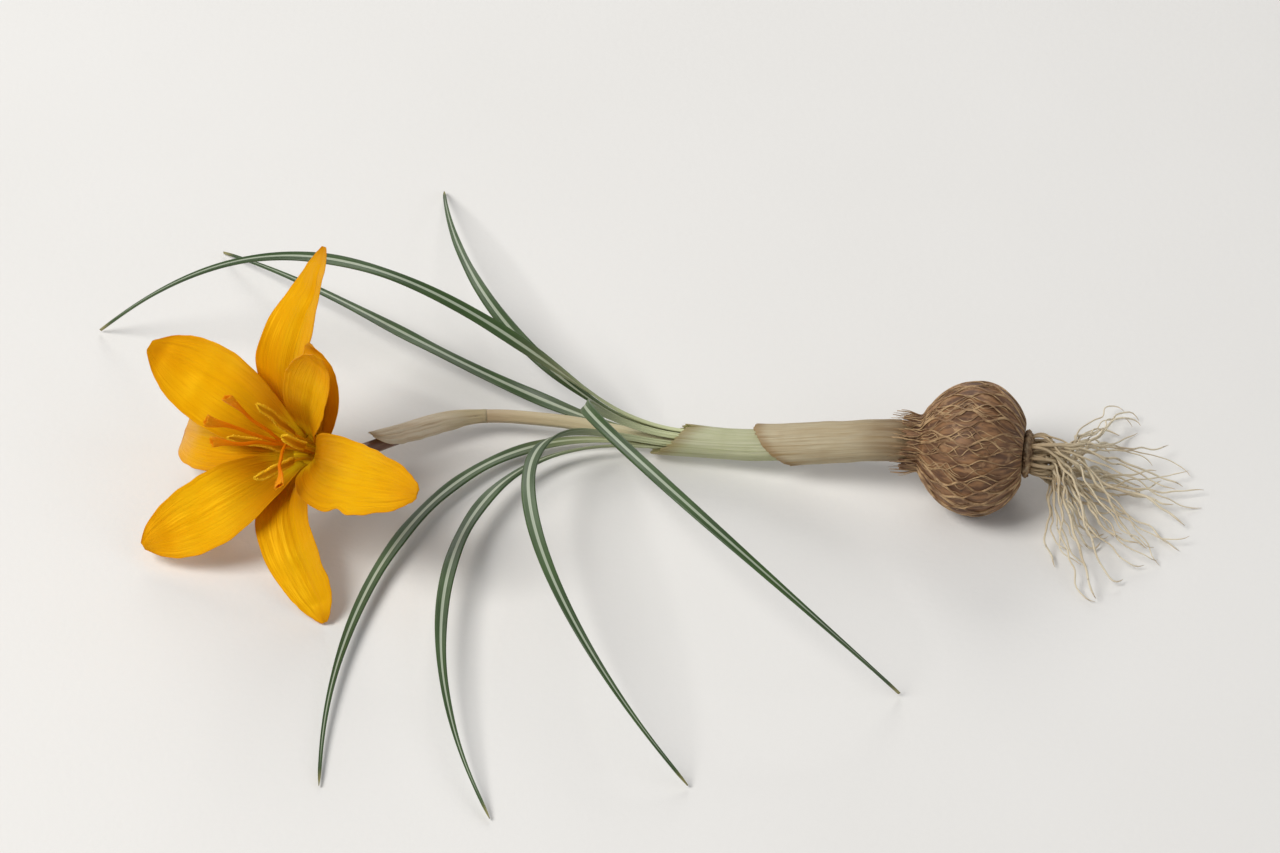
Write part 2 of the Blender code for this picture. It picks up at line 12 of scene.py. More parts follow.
import bmesh
import bpy
import numpy as np
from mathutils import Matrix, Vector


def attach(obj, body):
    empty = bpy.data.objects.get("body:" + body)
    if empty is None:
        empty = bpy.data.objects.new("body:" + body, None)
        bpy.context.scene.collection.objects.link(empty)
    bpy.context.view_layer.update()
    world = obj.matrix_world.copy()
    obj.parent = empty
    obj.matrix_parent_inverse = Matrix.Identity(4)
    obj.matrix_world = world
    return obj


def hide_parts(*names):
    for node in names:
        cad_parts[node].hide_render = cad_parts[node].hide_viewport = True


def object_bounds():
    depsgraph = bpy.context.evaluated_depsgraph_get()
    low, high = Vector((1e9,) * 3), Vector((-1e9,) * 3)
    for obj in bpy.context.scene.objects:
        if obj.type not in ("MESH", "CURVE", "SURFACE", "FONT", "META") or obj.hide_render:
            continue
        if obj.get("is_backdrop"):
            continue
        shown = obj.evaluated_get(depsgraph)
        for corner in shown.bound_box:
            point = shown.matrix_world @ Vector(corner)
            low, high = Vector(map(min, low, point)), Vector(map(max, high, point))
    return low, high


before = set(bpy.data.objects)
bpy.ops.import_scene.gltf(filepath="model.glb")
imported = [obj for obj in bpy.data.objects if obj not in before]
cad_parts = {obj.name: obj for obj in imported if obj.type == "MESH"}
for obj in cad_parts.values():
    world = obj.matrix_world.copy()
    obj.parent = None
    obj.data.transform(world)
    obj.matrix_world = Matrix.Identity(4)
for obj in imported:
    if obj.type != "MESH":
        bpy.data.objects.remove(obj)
solid_box = [list(corner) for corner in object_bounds()]
print("nodes:", len(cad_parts))
print("box in mm:", [[round(value * 1000, 1) for value in corner] for corner in solid_box])

# %% [markdown]
# ## Camera, light and table
#
# The flower is seen from the front and above, at 43.5 degrees, through a long lens from 0.9 m, so that near
# and far petals keep their true proportions. One big soft light from the upper left models the petals, a
# weaker one from the right opens the shadows, and a third from behind lets the thin petals glow.

# %% Camera
VIEW_ELEVATION = 43.5
VIEW_DISTANCE = 0.9
VIEW_WIDTH = 0.212  # metres across the picture, at the plant
SENSOR = 36.0
VIEW_CENTRE = (-0.0555, 0.006, 0.010)


def aim(thing, place, target):
    """Puts a camera or light at a place and turns it to a target."""
    look = np.array(target) - np.array(place)
    thing.location = place
    level = math.hypot(look[0], look[1])
    thing.rotation_euler = (math.pi / 2 + math.atan2(look[2], level), 0.0, math.atan2(-look[0], look[1]))


camera = bpy.data.objects.new("camera", bpy.data.cameras.new("camera"))
bpy.context.scene.collection.objects.link(camera)
bpy.context.scene.camera = camera
camera.data.sensor_width = SENSOR
camera.data.lens = SENSOR * VIEW_DISTANCE / VIEW_WIDTH
rise = math.radians(VIEW_ELEVATION)
back = np.array([0.0, -math.cos(rise), math.sin(rise)])
aim(camera, np.array(VIEW_CENTRE) + back * VIEW_DISTANCE, VIEW_CENTRE)
print("lens in mm:", round(camera.data.lens, 1))

# %% Lights
LIGHTS = {  # place, width, power and colour
    "window": ((-0.75, -0.30, 0.95), 0.55, 12.0, (1.0, 0.98, 0.95)),
    "fill": ((0.9, -0.5, 0.6), 0.9, 2.6, (0.95, 0.97, 1.0)),
    "rim": ((-0.1, 0.9, 0.55), 0.5, 3.6, (1.0, 0.98, 0.95)),
}
LIGHT_TARGET = (-0.06, 0.0, 0.01)
SKY_COLOUR = (0.93, 0.95, 1.0, 1.0)
SKY_STRENGTH = 0.26
for name, (place, width, power, colour) in LIGHTS.items():
    light = bpy.data.objects.new(name, bpy.data.lights.new(name, "AREA"))
    bpy.context.scene.collection.objects.link(light)
    light.data.size = width
    light.data.energy = power
    light.data.color = colour
    aim(light, place, LIGHT_TARGET)
sky = bpy.data.worlds.new("sky")
sky.use_nodes = True
sky.node_tree.nodes["Background"].inputs["Color"].default_value = SKY_COLOUR
sky.node_tree.nodes["Background"].inputs["Strength"].default_value = SKY_STRENGTH
bpy.context.scene.world = sky
bpy.context.scene.view_settings.view_transform = "Standard"
print("lights:", len(LIGHTS))

# %% [markdown]
# ## Writing finishes as sums
#
# A finish is a small network of nodes. Drawn by hand such a network is hard to read, so a wire between two
# nodes is wrapped in a class that knows addition, subtraction and multiplication. A formula on wires then
# adds its own maths nodes. Every other node comes from one method, which takes the kind of node, its settings
# and what goes into its sockets. Colour is put on as a painter does it: a ground, then coats over it, each
# with the share of the surface that it covers.

# %% Wires


class Wire:
    """A value that runs out of a node's socket, for use in sums."""

    def __init__(self, finish, socket):
        self.finish = finish
        self.socket = socket

    def sum_node(self, operation, *terms):
        return self.finish.node("Math", {"operation": operation}, dict(enumerate(terms)))

    def __add__(self, other):
        return self.sum_node("ADD", self, other)

    def __sub__(self, other):
        return self.sum_node("SUBTRACT", self, other)

    def __rsub__(self, other):
        return self.sum_node("SUBTRACT", other, self)

    def __mul__(self, other):
        return self.sum_node("MULTIPLY", self, other)

    __radd__ = __add__
    __rmul__ = __mul__

    def size(self):
        """The value without its sign."""
        return self.sum_node("ABSOLUTE", self)

    def between(self, low, high):
        """0 below low and 1 above high, with a soft change from one to the other."""
        settings = {"interpolation_type": "SMOOTHSTEP"}
        return self.finish.node("MapRange", settings, {"Value": self, "From Min": low, "From Max": high})


print("a wire can be added, subtracted and multiplied")

# %% Finishes


class Finish:
    """A material under construction: a Principled shader and the nodes that feed it."""

    def __init__(self, name, **constants):
        self.material = bpy.data.materials.new(name)
        self.material.use_nodes = True
        self.tree = self.material.node_tree
        self.shader = self.tree.nodes["Principled BSDF"]
        for socket, value in constants.items():
            self.shader.inputs[socket.replace("_", " ").title().replace("Ior", "IOR")].default_value = value

    def node(self, kind, settings=None, sockets=None, out=0):
        """A node of a kind, with its settings and sockets, and the wire from one of its outputs."""
        made = self.tree.nodes.new("ShaderNode" + kind)
        settings = dict(settings or {})
        stops = settings.pop("stops", [])
        for key, value in settings.items():
            setattr(made, key, value)
        for number, (place, colour) in enumerate(stops):
            stop = made.color_ramp.elements[number] if number < 2 else made.color_ramp.elements.new(place)
            stop.position = place
            stop.color = (*colour, 1.0)
        for key, value in (sockets or {}).items():
            self.feed(made.inputs[key], value)
        return Wire(self, made.outputs[out])

    def feed(self, socket, value):
        """Links a wire to a socket, or sets the socket to a value."""
        if isinstance(value, Wire):
            self.tree.links.new(value.socket, socket)
        elif socket.type == "RGBA" and len(value) == 3:
            socket.default_value = (*value, 1.0)
        else:
            socket.default_value = value

    def surface_place(self):
        """Across the surface from 0 to 1, and along it from 0 to 1."""
        place = self.node("TexCoord", out=2)
        parts = self.node("SeparateXYZ", sockets={0: place})
        return parts, Wire(self, parts.socket.node.outputs[1])

    def ramp(self, value, *stops):
        """A colour that changes along a value."""
        return self.node("ValToRGB", {"stops": stops}, {0: value})

    def grain(self, scale, detail=3.0):
        """Noise from 0 to 1 in the piece's own space."""
        place = self.node("TexCoord", out=3)
        return self.node("TexNoise", sockets={"Vector": place, "Scale": scale, "Detail": detail})

    def lines(self, across, along, detail=2.0):
        """Noise from 0 to 1 that is drawn out along the surface."""
        place = self.node("CombineXYZ", sockets={0: across, 1: along})
        return self.node("TexNoise", sockets={"Vector": place, "Scale": 1.0, "Detail": detail})

    def coated(self, ground, *coats):
        """A colour with coats over it, each a share and a colour."""
        for share, colour in coats:
            ground = self.node("Mix", {"data_type": "RGBA"}, {0: share, 6: ground, 7: colour}, out=2)
        return ground

    def paint(self, ground, *coats):
        """The surface's colour, with its coats."""
        self.feed(self.shader.inputs["Base Color"], self.coated(ground, *coats))

    def roughness(self, value):
        self.feed(self.shader.inputs["Roughness"], value)

    def relief(self, height, depth):
        """Fine relief of a depth in metres."""
        bump = self.node("Bump", sockets={"Height": height, "Distance": depth})
        self.feed(self.shader.inputs["Normal"], bump)

    def let_light_through(self, colour, share):
        """Mixes in light that passes through a thin piece."""
        glow = self.node("BsdfTranslucent", sockets={"Color": colour})
        both = self.node("MixShader", sockets={0: share, 1: Wire(self, self.shader.outputs[0]), 2: glow})
        self.feed(self.tree.nodes["Material Output"].inputs[0], both)


print("finish helpers are ready")

# %% [markdown]
# ## Surfaces from loops
#
# Petals, leaves, tubes, roots and sheaths are all one idea: a closed loop of points that travels along a path
# while it changes its size. A function joins such loops with quads and closes the ends, and gives each corner
# two coordinates, across and along, which the finishes read. Pieces made of many small parts gather them in
# one mesh.

# %% Skins


def unit(vector):
    """Vectors at length 1."""
    vector = np.asarray(vector, float)
    return vector / np.linalg.norm(vector, axis=-1, keepdims=True)


def corners_of(grid):
    """The values at the four corners of each cell of a grid."""
    return np.stack([grid[:-1, :-1], grid[:-1, 1:], grid[1:, 1:], grid[1:, :-1]], -1)


def skin(rings, us=None, vs=None, looks=None, ends=True):
    """A skin through loops of points: its points, faces, corner coordinates and the look of each face.

    us and vs are the coordinates round and along the loops, and looks gives a look to each column.
    With ends the first and last loop are closed, and without them the last loop joins the first.
    """
    rings = np.asarray(rings, float)
    rows, columns = rings.shape[:2]
    us = np.linspace(0.0, 1.0, columns + 1) if us is None else us
    vs = np.linspace(0.0, 1.0, rows) if vs is None else vs
    looks = np.zeros(columns, int) if looks is None else looks
    index = np.arange(rows * columns).reshape(rows, columns)
    index = np.concatenate([index, index[:, :1]], 1)
    if not ends:
        index = np.concatenate([index, index[:1]], 0)
        vs = np.r_[vs, vs[0]]
    faces = corners_of(index).reshape(-1, 4).tolist()
    places = np.stack([corners_of(grid) for grid in np.meshgrid(us, vs)], -1).reshape(-1, 2)
    face_looks = np.tile(looks, len(vs) - 1).tolist()
    if ends:
        faces += [index[0, -2::-1].tolist(), index[-1, :-1].tolist()]
        first = np.stack([us[-2::-1], np.full(columns, vs[0])], 1)
        last = np.stack([us[:-1], np.full(columns, vs[-1])], 1)
        places = np.concatenate([places, first, last])
        face_looks += [int(looks[0])] * 2
    return rings.reshape(-1, 3), faces, places, face_looks


def surface_normals(grid):
    """The normals of a grid of points."""
    return unit(np.cross(np.gradient(grid, axis=0), np.gradient(grid, axis=1)))


def sheet_skin(grid, normal, thick, along, back_look=0):
    """A thin body on both sides of a grid of points: look 0 in front, and a look for its back."""
    columns = grid.shape[1]
    push = normal * thick[..., None] / 2
    u = np.linspace(0.0, 1.0, columns)
    rings = np.concatenate([grid + push, (grid - push)[:, ::-1]], 1)
    return skin(rings, np.r_[u, u[::-1], 0.0], along, np.repeat([0, back_look], columns))


print("corners of a cell:", corners_of(np.arange(4).reshape(2, 2)).ravel().tolist())

# %% Pieces
MM = 0.001


def make_piece(name, skins, finishes, nodes):
    """One smooth object from skins in millimetres, in place of nodes of the frame."""
    points, parts, places, looks = zip(*skins)
    starts = np.cumsum([0, *map(len, points)]).tolist()
    faces = [[corner + start for corner in face] for start, part in zip(starts, parts) for face in part]
    points = np.concatenate(points) * MM
    points[:, 2] = np.maximum(points[:, 2], 0.0)  # nothing dips into the table
    mesh = bpy.data.meshes.new(name)
    mesh.from_pydata(points.tolist(), [], faces)
    layer = mesh.uv_layers.new(name="surface")
    layer.uv.foreach_set("vector", np.concatenate(places).astype(np.float32).ravel())
    mesh.polygons.foreach_set("material_index", sum(looks, []))
    shape = bmesh.new()
    shape.from_mesh(mesh)
    bmesh.ops.recalc_face_normals(shape, faces=shape.faces)
    shape.to_mesh(mesh)
    shape.free()
    mesh.shade_smooth()
    for finish in finishes:
        mesh.materials.append(finish.material)
    piece = bpy.data.objects.new(name, mesh)
    bpy.context.scene.collection.objects.link(piece)
    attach(piece, "root")
    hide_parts(*nodes)
    mesh.calc_loop_triangles()
    print(f"{name}: {len(mesh.loop_triangles)} triangles")


print("pieces are made in millimetres and stored in metres:", MM)

# %% [markdown]
# ## The table
#
# A plain pale surface, large enough to fill the picture from any side. A faint mottle keeps it from looking
# like paper cut out around the plant.

# %% The table and its finish
TABLE_REACH = 6.0  # metres to each side
TABLE_DROP = 0.0001
TABLE_CORNERS = [(-1, -1), (1, -1), (1, 1), (-1, 1)]
plaster = Finish("table", roughness=0.85)
plaster.paint((0.74, 0.73, 0.705), (plaster.grain(14.0, 5.0), (0.79, 0.78, 0.76)))
plaster.relief(plaster.grain(900.0, 2.0), 0.00005)
table_mesh = bpy.data.meshes.new("table")
corners = [(x * TABLE_REACH, y * TABLE_REACH, -TABLE_DROP) for x, y in TABLE_CORNERS]
table_mesh.from_pydata(corners, [], [(0, 1, 2, 3)])
table_mesh.materials.append(plaster.material)
table = bpy.data.objects.new("table", table_mesh)
bpy.context.scene.collection.objects.link(table)
table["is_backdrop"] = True
print("table:", TABLE_REACH * 2, "m")

# %% [markdown]
# ## Where the plant lies
#
# The plant lies along the table, with the bulb at the right, and the flower faces up and to the front left.
# A few angles give the directions that every piece is placed by. All sizes from here on are in millimetres,
# and those of the main forms are the same as in the solids, so the finer pieces fit where the solids are.

# %% The plant's own directions
UP = np.array([0.0, 0.0, 1.0])
CORM_HEADING = 172.0  # degrees from +X, of the bulb's axis from its roots to its shoot
FLOWER_HEADING = 223.9  # of the flower's axis
FLOWER_TILT = 43.6  # degrees by which it rises


def heading(degrees):
    """The level direction at an angle from +X."""
    return np.array([math.cos(math.radians(degrees)), math.sin(math.radians(degrees)), 0.0])


def flower_axes():
    """The flower's axis, the direction of its top and the direction of its right as seen from the front."""
    level = heading(FLOWER_HEADING)
    tilt = math.radians(FLOWER_TILT)
    axis = level * math.cos(tilt) + UP * math.sin(tilt)
    top = UP * math.cos(tilt) - level * math.sin(tilt)
    return axis, top, np.cross(top, axis)


AWAY = heading(CORM_HEADING)
ASIDE = np.cross(AWAY, UP)
AXIS, TOP, RIGHT = flower_axes()


def clock(degrees):
    """The direction across the flower at a clockwise angle from its top."""
    angle = np.radians(degrees)
    return np.multiply.outer(np.cos(angle), TOP) + np.multiply.outer(np.sin(angle), RIGHT)


print("the flower faces", AXIS.round(2))

# %% [markdown]
# ## Petals
#
# A crocus petal, or tepal, rises from a narrow claw in the throat, swells, and ends in a rounded point. It is
# a channel rather than a flat blade, it bends outwards as the flower opens, its veins run from claw to tip
# and its margin waves a little. A flat outline with a picture on it would look dead from the side, so the
# petal is a real thin body: a grid is bent along the rib and across the channel, veins and waves push it in
# and out, and its thickness falls from the rib to the margin.

# %% The petals' places
GAP = 0.3  # between two solids that nearly touch
INNER_RING = 2.45  # radius of the ring at the throat that the inner petals rise from
OUTER_RING = 3.35
# Each tepal: ring, azimuth at its base and at its tip, how far it opens at its base, middle and tip, its
# length, half width, the place of the widest point, the radius of its channel, the twist at its tip and how
# slowly it widens from its claw
TEPALS = {
    "tepal_inner_1": (INNER_RING, 282, 274, (24, 72, 60), 30.0, 7.2, 0.48, 12, 0, 0.6),
    "tepal_inner_2": (INNER_RING, 10, 18, (20, 52, 44), 25.2, 5.6, 0.50, 8, -20, 0.75),
    "tepal_inner_3": (INNER_RING, 91, 76, (24, 82, 92), 32.8, 6.5, 0.44, 14, 0, 0.8),
    "tepal_inner_4": (INNER_RING, 174, 198, (24, 76, 64), 30.2, 7.0, 0.50, 12, 0, 0.65),
    "tepal_outer_1": (OUTER_RING, 323, 341.5, (30, 88, 84), 32.5, 6.2, 0.42, 10, 24, 0.7),
    "tepal_outer_2": (OUTER_RING, 38, 3, (30, 57, 35), 21.4, 4.1, 0.56, 11, 0, 1.3),
    "tepal_outer_3": (OUTER_RING, 151, 131, (30, 96, 100), 29.9, 5.4, 0.45, 10, 0, 0.7),
    "tepal_outer_4": (OUTER_RING, 238, 247, (30, 96, 145), 26.6, 5.8, 0.52, 12, 0, 0.7),
}
print("petals:", len(TEPALS))

# %% Soft steps and turns


def ease(value):
    """0 to 1 with level ends."""
    value = np.clip(value, 0.0, 1.0)
    return value * value * (3.0 - 2.0 * value)


def points_at(where, steps, points):
    """Points between those of a polyline, which are known at the given steps."""
    return np.stack([np.interp(where, steps, points[:, axis]) for axis in range(3)], 1)


def turned(across, facing, angle):
    """Two crossing directions, turned about the third."""
    return across * np.cos(angle) + facing * np.sin(angle), facing * np.cos(angle) - across * np.sin(angle)


print("one soft step:", ease(0.25))

# %% The width and rib of a petal
RIB_STEPS = 120
RIB_LIFT = 0.1  # of a rib's foot above its gap at the throat
BEND_SPREAD = 15  # steps to each side over which a rib's bend is softened
TURNING = 0.8  # how soon a petal turns from the azimuth of its base to that of its tip
TIP_SHARPNESS = 2.3  # how suddenly a petal closes to its tip
TIP_FULLNESS = 0.72  # the lower, the rounder the tip


def tepal_width(along, claw, widest, place, slow):
    """Half the width of a tepal at a fraction of its length: a claw, a swell and a rounded point."""
    swell = claw + (widest - claw) * ease(along / place) ** slow
    closing = np.clip((along - place) / (1.0 - place), 0.0, 1.0)
    return np.where(along < place, swell, widest * (1.0 - closing**TIP_SHARPNESS) ** TIP_FULLNESS)


def tepal_rib(ring, base, tip, opening, length):
    """The middle line of a tepal and its distance from the flower's axis."""
    along = np.linspace(0.0, 1.0, RIB_STEPS + 1)
    angle = np.radians(np.interp(along, (0, 0.5, 1), opening))
    window = 2 * BEND_SPREAD + 1
    angle = np.convolve(np.pad(angle, BEND_SPREAD, mode="edge"), np.ones(window) / window, mode="valid")
    step = length / RIB_STEPS
    spread = ring + np.r_[0.0, np.cumsum(np.sin(angle[1:]) * step)]
    lifted = GAP + RIB_LIFT + np.r_[0.0, np.cumsum(np.cos(angle[1:]) * step)]
    azimuth = base + (tip - base) * ease(along) ** TURNING
    return along, clock(azimuth) * spread[:, None] + AXIS * lifted[:, None], spread


print("steps along a rib:", RIB_STEPS)

# %% The directions along a petal
CHANNEL_SHARE = 0.8  # of the distance from the flower's axis, for the radius of a channel
CLAW_SHARE = 0.66  # of the ring's radius, for half the width of a claw


def tepal_frame(shape, picks):
    """Rib, directions across and facing, channel radius and half width at fractions of the length."""
    ring, base, tip, opening, length, widest, place, channel, twist, slow = shape
    along, rib, spread = tepal_rib(ring, base, tip, opening, length)
    inside = np.clip(picks, 0.0, 1.0)
    tangent = unit(points_at(inside, along, np.gradient(rib, axis=0)))
    rib = points_at(inside, along, rib) + AXIS * np.minimum(picks, 0.0)[:, None] * length
    across = unit(np.cross(tangent, AXIS))
    facing = np.cross(across, tangent)
    facing *= np.sign(facing @ AXIS)[:, None]
    across, facing = turned(across, facing, math.radians(twist) * ease(inside)[:, None])
    radius = np.minimum(channel, CHANNEL_SHARE * np.interp(inside, along, spread) + GAP)
    return rib, across, facing, radius, tepal_width(inside, ring * CLAW_SHARE, widest, place, slow)


print("half width of the first petal:", tepal_frame(TEPALS["tepal_inner_1"], np.linspace(0, 1, 51))[4].max())

# %% The blade of a petal, and where the throat is
FLOWER_PLACE = (-110.0, -1.5)  # the throat's place over the table
LIFT = 0.05  # of the lowest petal above the table
SOLID_ROWS = 15  # of a solid blade
SOLID_COLUMNS = 7
BLADE_THICK = 0.6
TIP_CUT = 0.985  # of the length, where a solid blade ends


def swept(path, first, second, x, y):
    """Loops along a path. A row of x and y has a loop's places in the two directions across it."""
    return path[:, None] + x[..., None] * first[:, None] + y[..., None] * second[:, None]


def petal_grid(rib, across, facing, radius, half, columns):
    """The middle surface of a tepal, bent to its channel."""
    arc = np.linspace(-1.0, 1.0, columns)[None, :] * (half / radius)[:, None]
    return swept(rib, across, facing, radius[:, None] * np.sin(arc), radius[:, None] * (1.0 - np.cos(arc)))


def lowest_of(shape):
    """How low a solid tepal reaches below the middle of the throat."""
    grid = petal_grid(*tepal_frame(shape, np.linspace(0.0, TIP_CUT, SOLID_ROWS)), SOLID_COLUMNS)
    return (grid - np.abs(surface_normals(grid)) * BLADE_THICK / 2)[..., 2].min()


THROAT = np.array([*FLOWER_PLACE, LIFT - min(lowest_of(shape) for shape in TEPALS.values())])
print("throat in mm:", THROAT.round(2))

# %% [markdown]
# ### Claws
#
# An inner petal's claw ends in the throat. Those of the outer petals go on down the outside of the tube,
# side by side, and melt into it. If the petals simply stood on the tube, a ring would show where they
# begin, so each outer blade gets more rows that follow the tube's wall and sink a little into it.

# %% The claw of an outer petal
CLAW_RUN = 8.0  # how far it runs down the flower tube
CLAW_END = 0.2  # where its last row is below the throat
CLAW_ROWS = 18
CLAW_ANGLE = 48.0  # degrees to each side at which the outer claws meet
CLAW_ANGLE_TOP = 39.0  # at the throat
CLAW_NARROWING = 3.0  # below the throat, where it begins to narrow
CLAW_LIFT = 0.2  # of a claw above the tube's wall at the throat
CLAW_SINK = 0.25  # of its lower end below that wall
TUBE_RADIUS = 1.1
TUBE_FLARE = 13.0  # below the throat, where the tube begins to widen
THROAT_WALL = 2.95  # radius of the tube's wall at the throat
FLARE_POWER = 2.6


def tube_wall(depth):
    """Radius of the flower tube at a depth below the throat."""
    flare = np.clip(1.0 - depth / TUBE_FLARE, 0.0, 1.0) ** FLARE_POWER
    return TUBE_RADIUS + (THROAT_WALL - TUBE_RADIUS) * flare


def claw_grid(shape, columns):
    """The claw below a blade, which lies on the flower tube and sinks into it. Also its facings."""
    base = shape[1]
    depths = np.linspace(CLAW_RUN, CLAW_END, CLAW_ROWS)
    wide = CLAW_ANGLE - (CLAW_ANGLE - CLAW_ANGLE_TOP) * ease(1.0 - depths / CLAW_NARROWING)
    radius = tube_wall(depths) + CLAW_LIFT - (CLAW_LIFT + CLAW_SINK) * ease(depths / CLAW_RUN)
    azimuth = base + wide[:, None] * np.linspace(-1.0, 1.0, columns)[None, :]
    grid = clock(azimuth) * radius[:, None, None] - AXIS * depths[:, None, None]
    return grid, -depths / shape[4], np.tile(-clock(base), (CLAW_ROWS, 1))


print("radius of the tube at the lower end of the claws:", round(float(tube_wall(CLAW_RUN)), 2))

# %% [markdown]
# ### Seeded differences
#
# No two petals or roots are alike, but the plant has to come out the same in every run. So each piece draws
# from a generator that is seeded with its name, and the draws are blurred into soft waves.

# %% Seeded differences


def seeded(name):
    """A piece's own random draws, the same in every run."""
    return np.random.default_rng(sum(map(ord, name)))


def smooth_random(draw, count, softness):
    """Random values that change softly from one to the next, from about -1 to 1."""
    rough = draw.normal(size=count + 4 * softness)
    window = np.hanning(2 * softness + 1)
    smooth = np.convolve(rough, window / np.sqrt((window**2).sum()), mode="same")
    return smooth[2 * softness : 2 * softness + count] * 0.6


print("soft random values:", smooth_random(seeded("crocus"), 4, 2).round(2))

# %% [markdown]
# Each petal also has marks of its own: a crease, a deeper wave in its margin, a nick. Small seeded
# differences in the waves keep the eight from looking like copies.

# %% Waves, veins and creases
CHARACTER = {  # wave of the margin, waves along it, crease of the rib, hooding of the tip
    "tepal_inner_1": (0.30, 1.6, 0.25, 0.7),
    "tepal_inner_2": (0.35, 1.4, 0.25, 0.6),
    "tepal_inner_3": (0.55, 2.2, 0.25, 0.3),
    "tepal_inner_4": (0.30, 1.5, 0.30, 0.5),
    "tepal_outer_1": (0.45, 1.8, 0.75, 0.2),
    "tepal_outer_2": (0.25, 1.3, 0.30, 0.4),
    "tepal_outer_3": (0.40, 2.0, 0.55, 0.2),
    "tepal_outer_4": (0.40, 1.7, 0.45, 0.2),
}
VEINS = 9  # on each side of the rib
VEIN_DEPTH = 0.035
CREASE_WIDTH = 0.13  # of half the petal
BILLOW = 0.24  # mm by which the blade swells and dips along its length
LEFT_WAVE = 2 * math.pi  # radians for each wave, so that the two margins differ
RIGHT_WAVE = 5.3
WAVE_REACH = 2.5  # the higher, the closer the waves keep to the margin


def petal_relief(name, along, sides, draw):
    """How far the veins, waves and crease push the surface towards its inner face."""
    wave, count, crease, hood = CHARACTER[name]
    phase = draw.uniform(0.0, 2 * math.pi, 2)
    free = ease(along / 0.35) * (1.0 - 0.5 * ease((along - 0.8) / 0.2))
    left = np.sin(LEFT_WAVE * count * along + phase[0])
    right = np.sin(RIGHT_WAVE * count * along + phase[1])
    height = wave * np.where(sides < 0, left, right) * np.abs(sides) ** WAVE_REACH * free
    folded = ease(along / 0.2) * (1.0 - ease((along - 0.6) / 0.4))
    height = height - crease * np.exp(-((sides / CREASE_WIDTH) ** 2)) * folded
    veined = ease(along / 0.1) * (1.0 - ease((along - 0.75) / 0.25))
    height = height + VEIN_DEPTH * (0.5 - 0.5 * np.cos(2 * math.pi * VEINS * sides)) * veined
    billow = smooth_random(draw, along.shape[0], 9)[:, None] * (1.0 - sides**2) * BILLOW * free
    return height + billow + hood * ease((along - 0.86) / 0.14) ** 1.5


print("crests of veins across a petal:", 2 * VEINS)

# %% The body of a petal
NICKS = {  # side, place along the petal, width and depth of a nick in its margin
    "tepal_inner_3": (1.0, 0.56, 0.045, 0.9),
    "tepal_outer_3": (-1.0, 0.72, 0.05, 0.35),
}
PETAL_ROWS = 84
PETAL_COLUMNS = 61
CLAW_DEPTH = 0.03  # of the length, how far an inner claw goes on down into the throat
LENGTH_SPAN = 1.35  # along a petal from the end of its claw to its tip, for a blade of 1
TIP_END = 0.99
TIP_CROWDING = 0.7  # how much closer the rows are towards the tip
MARGIN_WAVER = 0.12
RIB_THICK = 0.42
MARGIN_THICK = 0.14


def petal_places(picks):
    """How far each point of a petal's grid is to the side, from -1 to 1, and along, from 0 to 1."""
    return np.meshgrid(np.linspace(-1.0, 1.0, PETAL_COLUMNS), np.clip(picks, 0.0, 1.0))


def petal_skin(name):
    """A thin body on both sides of the petal's surface: look 0 inside, 1 on its back."""
    draw = seeded(name)
    outer = "outer" in name
    steps = np.linspace(0.0, 1.0, PETAL_ROWS)
    start = 0.0 if outer else -CLAW_DEPTH
    picks = start + (TIP_END - start) * (steps * (1 + TIP_CROWDING) - TIP_CROWDING * steps**2)
    rib, across, facing, radius, half = tepal_frame(TEPALS[name], picks)
    grid = petal_grid(rib, across, facing, radius, half, PETAL_COLUMNS)
    sides, along = petal_places(picks)
    if name in NICKS:
        side, place, width, depth = NICKS[name]
        cut = depth * np.exp(-(((along - place) / width) ** 2)) * ease((sides * side - 0.45) / 0.55)
        grid = grid - (cut * side)[..., None] * across[:, None]
    waver = smooth_random(draw, PETAL_ROWS, 5)[:, None] * MARGIN_WAVER
    margin = waver * sides * np.abs(sides) ** 3 * ease(along / 0.3)
    grid = grid + margin[..., None] * across[:, None]
    grid = grid + petal_relief(name, along, sides, draw)[..., None] * facing[:, None]
    if outer:
        claw, claw_picks, claw_facing = claw_grid(TEPALS[name], PETAL_COLUMNS)
        grid = np.concatenate([claw, grid])
        picks = np.r_[claw_picks, picks]
        facing = np.concatenate([claw_facing, facing])
        sides, along = petal_places(picks)
    normal = surface_normals(grid)
    normal *= np.sign((normal * facing[:, None]).sum(2))[..., None]
    thick = MARGIN_THICK + (RIB_THICK - MARGIN_THICK) * (1.0 - sides**2) * (1.0 - 0.6 * along)
    return sheet_skin(grid + THROAT, normal, thick, 1.0 - (1.0 - picks) / LENGTH_SPAN, 1)


print("quads across a petal:", PETAL_COLUMNS - 1)
